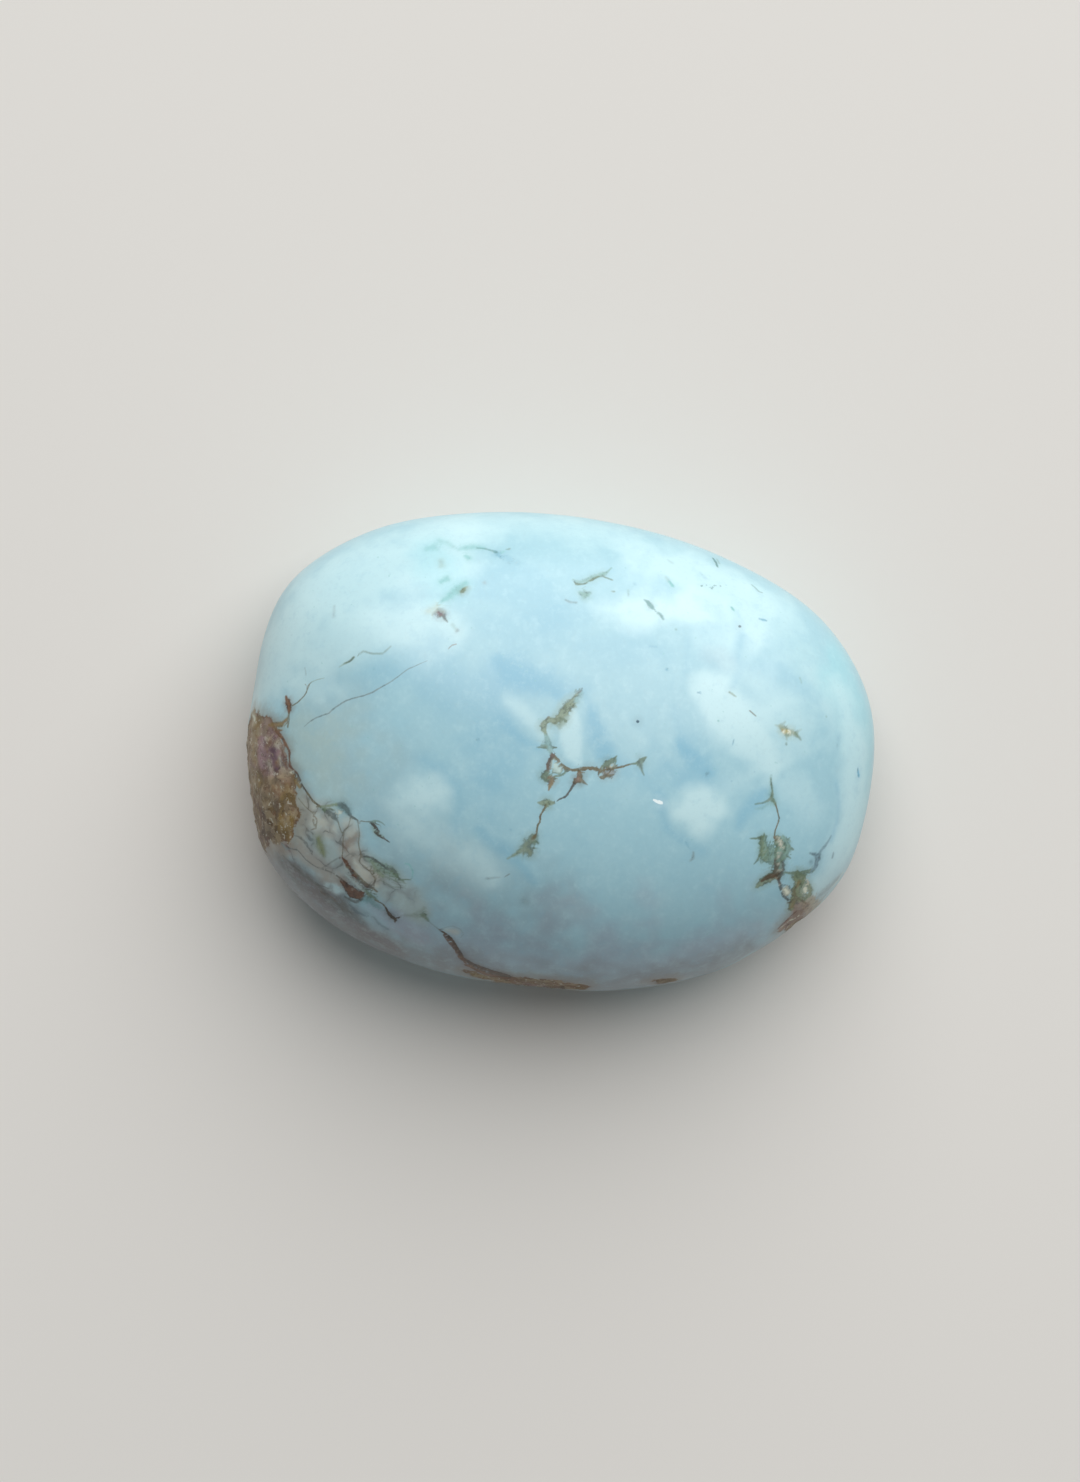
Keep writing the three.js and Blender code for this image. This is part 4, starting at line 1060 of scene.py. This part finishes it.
def paint_veins(stone, skin):
    """Wide or hazy patches of matrix lie in one layer and the fine lines in another, over them."""
    noise.seed_set(SWING_SEED)
    layers = {"patch": Veins(skin), "line": Veins(skin)}
    for find, swing, strokes in ((skin.dome, DOME_SWING, VEINS), (skin.back, BACK_SWING, BACK_VEINS)):
        for tint, strength, softness, points in strokes:
            widest = max(width for px, py, width in points)
            layer = "patch" if widest > PATCH_WIDTH or softness > PATCH_SOFTNESS else "line"
            layers[layer].draw(find, swing, tint, strength, softness, points)
    for layer, veins in layers.items():
        store(stone, layer + "_margin", "FLOAT", veins.margin)
        store(stone, layer + "_offset", "FLOAT_VECTOR", veins.offset)
        store(stone, layer + "_form", "FLOAT_VECTOR", veins.form)
        store(stone, layer + "_tint", "FLOAT_COLOR", veins.tint)


def wear_rock(stone, rock_edge):
    """The host rock is softer than turquoise, so polishing leaves it a little lower, with a broken skin."""
    worn = 1 - smooth_step(rock_edge.astype(np.float32), -WORN_EDGE, 0.0)
    group = stone.vertex_groups.new(name="host_rock")
    for i in np.flatnonzero(worn):
        group.add([int(i)], float(worn[i]), "REPLACE")
    grit = bpy.data.textures.new("broken_grit", "CLOUDS")
    grit.noise_scale = GRIT_WIDTH * MM
    grit.noise_depth = GRIT_DETAIL
    apply_modifier(
        stone,
        "DISPLACE",
        texture=grit,
        texture_coords="LOCAL",
        vertex_group="host_rock",
        strength=-WORN_DEPTH * MM,
        mid_level=GRIT_LEVEL,
    )


def add_node(tree, kind, inputs=None, **settings):
    """Adds one shader node with its settings. An input is a value or another node's output."""
    made = tree.nodes.new(kind)
    for name, value in settings.items():
        setattr(made, name, value)
    for socket, value in (inputs or {}).items():
        if isinstance(value, bpy.types.NodeSocket):
            tree.links.new(value, made.inputs[socket])
        else:
            made.inputs[socket].default_value = value
    return made


def new_material(name):
    """An empty material, its node tree and its main shader."""
    material = bpy.data.materials.new(name)
    material.use_nodes = True
    tree = material.node_tree
    tree.nodes.clear()
    shader = add_node(tree, "ShaderNodeBsdfPrincipled")
    output = add_node(tree, "ShaderNodeOutputMaterial")
    tree.links.new(shader.outputs["BSDF"], output.inputs["Surface"])
    return material, tree, shader


class Shade:
    """Short names for the sums and mixes that the stone's colour is made of."""

    def __init__(self, tree):
        self.tree = tree
        place = add_node(tree, "ShaderNodeTexCoord").outputs["Object"]
        self.place = self.vector("SCALE", {0: place, "Scale": 1 / MM}).outputs[0]

    def vector(self, operation, inputs):
        return add_node(self.tree, "ShaderNodeVectorMath", inputs, operation=operation)

    def attribute(self, name, output="Fac"):
        return add_node(self.tree, "ShaderNodeAttribute", attribute_name=name).outputs[output]

    def math(self, operation, first, second=0.0):
        return add_node(self.tree, "ShaderNodeMath", {0: first, 1: second}, operation=operation).outputs[0]

    def grain(self, width, detail=2.0, roughness=0.5, shift=0.0):
        """A cloud pattern from 0 to 1 whose patches are about this many millimetres wide."""
        inputs = {"Vector": self.place, "W": shift, "Scale": 1 / width}
        inputs.update({"Detail": detail, "Roughness": roughness})
        return add_node(self.tree, "ShaderNodeTexNoise", inputs, noise_dimensions="4D").outputs[0]

    def bent(self, width, detail, reach):
        """The place moved by up to this reach, in bends that are this wide, both in millimetres."""
        inputs = {"Vector": self.place, "Scale": 1 / width, "Detail": detail}
        bend = add_node(self.tree, "ShaderNodeTexNoise", inputs, noise_dimensions="3D").outputs["Color"]
        bend = self.vector("SCALE", {0: bend, "Scale": reach}).outputs[0]
        return self.vector("ADD", {0: self.place, 1: bend}).outputs[0]

    def step(self, value, low, high, top=1.0):
        """Rises smoothly from 0 to top as the value goes from low to high. High may be the smaller one."""
        ends = {"Value": value, "From Min": low, "From Max": high, "To Min": 0.0, "To Max": top}
        return add_node(self.tree, "ShaderNodeMapRange", ends, interpolation_type="SMOOTHSTEP").outputs[0]

    def mix(self, share, under, over, blend="MIX"):
        """One colour over another. A colour is a tint's name or another node's output."""
        colours = [
            (*linear(TINTS[colour]), 1) if isinstance(colour, str) else colour for colour in (under, over)
        ]
        inputs = {0: share, 6: colours[0], 7: colours[1]}
        return add_node(self.tree, "ShaderNodeMix", inputs, data_type="RGBA", blend_type=blend).outputs[2]

    def patterned(self, colour, width, detail, roughness, shift, marks):
        """The colour with the marks of one cloud pattern over it."""
        pattern = self.grain(width, detail, roughness, shift)
        for tint, low, high, strength in marks:
            colour = self.mix(self.step(pattern, low, high, strength), colour, tint)
        return colour


def body_colour(shade):
    """Clouded blue, with paler and deeper wisps, fine chalky grain and a few small flecks."""
    colour = shade.attribute("body_tint", "Color")
    for pattern in (WISPS, CURDS, FLECKS, CHALKY_GRAIN):
        colour = shade.patterned(colour, *pattern)
    return colour


def net_colour(shade, under):
    """A net of hairline cracks filled with dark grey matrix, which fades out at the edge of its area."""
    cells = {"Vector": shade.bent(NET_BEND_WIDTH, 2.0, NET_BEND), "Scale": 1 / NET_CELL, "Randomness": 1.0}
    edge = add_node(shade.tree, "ShaderNodeTexVoronoi", cells, feature="DISTANCE_TO_EDGE").outputs["Distance"]
    around_rock = shade.math("MULTIPLY", shade.attribute("rock_edge"), NET_ROCK_SHARE)
    distance = shade.math("MINIMUM", shade.attribute("net_edge"), around_rock)
    inside = shade.step(distance, NET_FADE[1], NET_FADE[0])
    broken = shade.step(shade.grain(NET_GAP_WIDTH, 2.0, 0.5, 3.0), 0.4, 0.6)
    thick = shade.math("MULTIPLY", broken, HAIRLINE_THICKNESS)
    line = shade.step(shade.math("SUBTRACT", edge, thick), HAIRLINE_EDGE, -HAIRLINE_EDGE)
    haze = shade.step(edge, HAIRLINE_HAZE, 0.0, 0.35)
    share = shade.math("MULTIPLY", shade.math("MULTIPLY", line, inside), broken)
    colour = shade.mix(shade.math("MULTIPLY", haze, inside), under, "ash")
    return shade.mix(shade.math("MULTIPLY", share, 0.5), colour, "slate")


def rock_colour(shade, under):
    """Brown host rock with a ragged edge, grains of tan and umber, rust in the seams and pale specks."""
    ragged = shade.math("MULTIPLY", shade.grain(FRAY_WIDTH, 4.0, 0.65, 4.0), FRAY_DEPTH)
    edge = shade.math("ADD", shade.attribute("rock_edge"), ragged)
    cover = shade.step(edge, ROCK_FADE[1], ROCK_FADE[0])
    under = shade.mix(shade.step(edge, STAIN_FADE[1], STAIN_FADE[0], 0.45), under, "khaki")
    colour = shade.patterned(shade.attribute("rock_tint", "Color"), *ROCK_BANDS)
    cells = {"Vector": shade.bent(LUMP_BEND_WIDTH, 3.0, LUMP_BEND), "Scale": 1 / LUMP_WIDTH}
    lumps = add_node(shade.tree, "ShaderNodeTexVoronoi", cells).outputs["Color"]
    lump = add_node(shade.tree, "ShaderNodeSeparateXYZ", {0: lumps}).outputs
    colour = shade.mix(shade.step(lump[0], 0.55, 0.8, 0.5), colour, "sand")
    colour = shade.mix(shade.step(lump[1], 0.6, 0.85, 0.4), colour, "umber")
    for pattern in (ROCK_MOTTLE, ROCK_SEAMS, ROCK_GRAINS):
        colour = shade.patterned(colour, *pattern)
    seams = shade.grain(*ROCK_SEAMS[:4])
    rim = shade.math("MULTIPLY", shade.step(edge, 0.3, 0.46), shade.step(seams, 0.42, 0.56, 0.6))
    colour = shade.mix(rim, colour, "sienna")
    return shade.mix(cover, under, colour), cover


def vein_pigment(shade, tint, width, softness, edge):
    """A vein's tint, varied along it: dark and pale patches, ochre in the browns, a rim on crisp patches."""
    parts = add_node(shade.tree, "ShaderNodeSeparateColor", {0: tint}).outputs
    lively = shade.step(parts[1], 0.6, 0.4)
    brownish = shade.step(shade.math("SUBTRACT", parts[0], parts[1]), 0.0, 0.02)
    pigment = shade.grain(PIGMENT_WIDTH, 3.0, 0.65, 7.0)
    darker = shade.math("MULTIPLY", shade.step(pigment, 0.5, 0.66, 0.6), lively)
    colour = shade.mix(darker, tint, "slate", "MULTIPLY")
    paler = shade.math("MULTIPLY", shade.step(pigment, 0.46, 0.32, 0.3), lively)
    colour = shade.mix(paler, colour, "putty")
    ochre = shade.step(shade.grain(OCHRE_WIDTH, 2.0, 0.5, 12.0), 0.5, 0.68, 0.45)
    colour = shade.mix(shade.math("MULTIPLY", ochre, brownish), colour, "rust")
    crisp = shade.math("MULTIPLY", shade.step(width, 0.07, 0.14), shade.step(softness, 0.07, 0.05, 0.5))
    rim = shade.math("MULTIPLY", shade.step(edge, -0.11, -0.02), crisp)
    return shade.mix(rim, colour, "slate", "MULTIPLY")


def vein_colour(shade, under, layer):
    """A layer of drawn veins: thorny edges, and a faint stain round them."""
    offset = shade.attribute(layer + "_offset", "Vector")
    form = shade.attribute(layer + "_form", "Vector")
    width, strength, softness = add_node(shade.tree, "ShaderNodeSeparateXYZ", {0: form}).outputs
    length = shade.vector("LENGTH", {0: offset}).outputs["Value"]
    guard = shade.math("SUBTRACT", shade.attribute(layer + "_margin"), MESH_SLACK)
    edge = shade.math("MAXIMUM", shade.math("SUBTRACT", length, width), guard)
    thorns = shade.math("SUBTRACT", shade.grain(THORN_WIDTH, 4.0, 0.7, 1.0), 0.5)
    reach = shade.math("MINIMUM", shade.math("MULTIPLY", width, THORN_SHARE), THORN_LIMIT)
    edge = shade.math("ADD", edge, shade.math("MULTIPLY", thorns, reach))
    inner = shade.math("MULTIPLY", softness, -1.0)
    cover = shade.math("MULTIPLY", shade.step(edge, softness, inner), strength)
    stain = shade.step(edge, VEIN_STAIN_REACH, 0.0, 0.3)
    stain = shade.math("MULTIPLY", stain, shade.step(width, 0.02, 0.12))
    tint = shade.attribute(layer + "_tint", "Color")
    colour = shade.mix(shade.math("MULTIPLY", stain, strength), under, tint)
    return shade.mix(cover, colour, vein_pigment(shade, tint, width, softness, edge)), cover


def turquoise():
    """Turquoise, a fine-grained copper and aluminium phosphate, tumbled and polished: a soft waxy gloss."""
    material, tree, shader = new_material("polished_turquoise")
    shade = Shade(tree)
    colour = net_colour(shade, body_colour(shade))
    colour, rock_cover = rock_colour(shade, colour)
    colour, patch_cover = vein_colour(shade, colour, "patch")
    colour, line_cover = vein_colour(shade, colour, "line")
    tree.links.new(colour, shader.inputs["Base Color"])
    veins = shade.math("MULTIPLY", shade.math("MAXIMUM", patch_cover, line_cover), VEIN_ROUGHER)
    matrix = shade.math("MAXIMUM", shade.math("MULTIPLY", rock_cover, ROCK_ROUGHER), veins)
    height = add_node(tree, "ShaderNodeSeparateXYZ", {0: shade.place}).outputs[2]
    rubbed = shade.step(height, BACK_HEIGHT[1], BACK_HEIGHT[0], BACK_ROUGHER)
    rough = shade.math("ADD", shade.math("ADD", POLISH, matrix), rubbed)
    tree.links.new(rough, shader.inputs["Roughness"])
    shader.inputs["IOR"].default_value = TURQUOISE_IOR
    return material


def studio_floor():
    """A sheet of matt pale card, which lights the stone's underside a little."""
    bpy.ops.mesh.primitive_plane_add(size=FLOOR_SIZE, location=(0, 0, -FLOOR_DROP))
    floor = bpy.context.active_object
    floor.name = "studio_floor"
    material, tree, shader = new_material("matt_pale_card")
    shader.inputs["Base Color"].default_value = (*linear("#e4e0da"), 1)
    shader.inputs["Roughness"].default_value = CARD_ROUGHNESS
    floor.data.materials.append(material)


def add_rig(name, data, location, rotation):
    """Hangs a lamp or the camera in the studio."""
    rig = bpy.data.objects.new(name, data)
    rig.location = location
    rig.rotation_euler = rotation
    bpy.context.scene.collection.objects.link(rig)
    return rig


def studio_lights():
    """One large soft lamp that faces the stone from above the photograph's top, and a dim even room."""
    around, above = math.radians(KEY_AZIMUTH), math.radians(KEY_ELEVATION)
    level = PHOTO_RIGHT * math.sin(around) + PHOTO_UP * math.cos(around)
    way = level * math.cos(above) + Vector((0, 0, math.sin(above)))
    lamp = bpy.data.lights.new("key_softbox", "AREA")
    lamp.shape = "DISK"
    lamp.size = KEY_SIZE
    lamp.energy = KEY_WATTS
    add_rig("key_softbox", lamp, way * KEY_DISTANCE, way.to_track_quat("Z", "Y").to_euler())
    world = bpy.data.worlds.new("studio_room")
    bpy.context.scene.world = world
    world.use_nodes = True
    room = world.node_tree.nodes["Background"].inputs
    room["Color"].default_value = (*linear("#dfe6ea"), 1)
    room["Strength"].default_value = ROOM_BRIGHTNESS
    bpy.context.scene.view_settings.view_transform = "Standard"


def camera():
    """The camera straight above the stone, with the photograph's frame and slope."""
    lens = bpy.data.cameras.new("photo_camera")
    lens.sensor_width = SENSOR_WIDTH
    lens.lens = SENSOR_WIDTH * EYE_HEIGHT / (PHOTO_HEIGHT / PIXELS_PER_MM)
    lens.clip_start = CLIP_NEAR
    lens.clip_end = CLIP_FAR
    bpy.context.scene.camera = add_rig("photo_camera", lens, EYE, (0, 0, PHOTO_TURN))


camera()
studio_lights()
studio_floor()
stone = stone_blank(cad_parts["turquoise_stone"])
skin = Skin(stone)
store_paint(stone, skin, "body_tint", "body", CLOUDS, BACK_CLOUDS)
store_paint(stone, skin, "rock_tint", "khaki", ROCK_TINTS, BACK_ROCK_TINTS)
rock_edge = store_edge(stone, skin, "rock_edge", ROCK, BACK_ROCK)
store_edge(stone, skin, "net_edge", NET, BACK_NET)
paint_veins(stone, skin)
wear_rock(stone, rock_edge)
stone.data.materials.append(turquoise())
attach(stone, "root")
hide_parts("turquoise_stone")
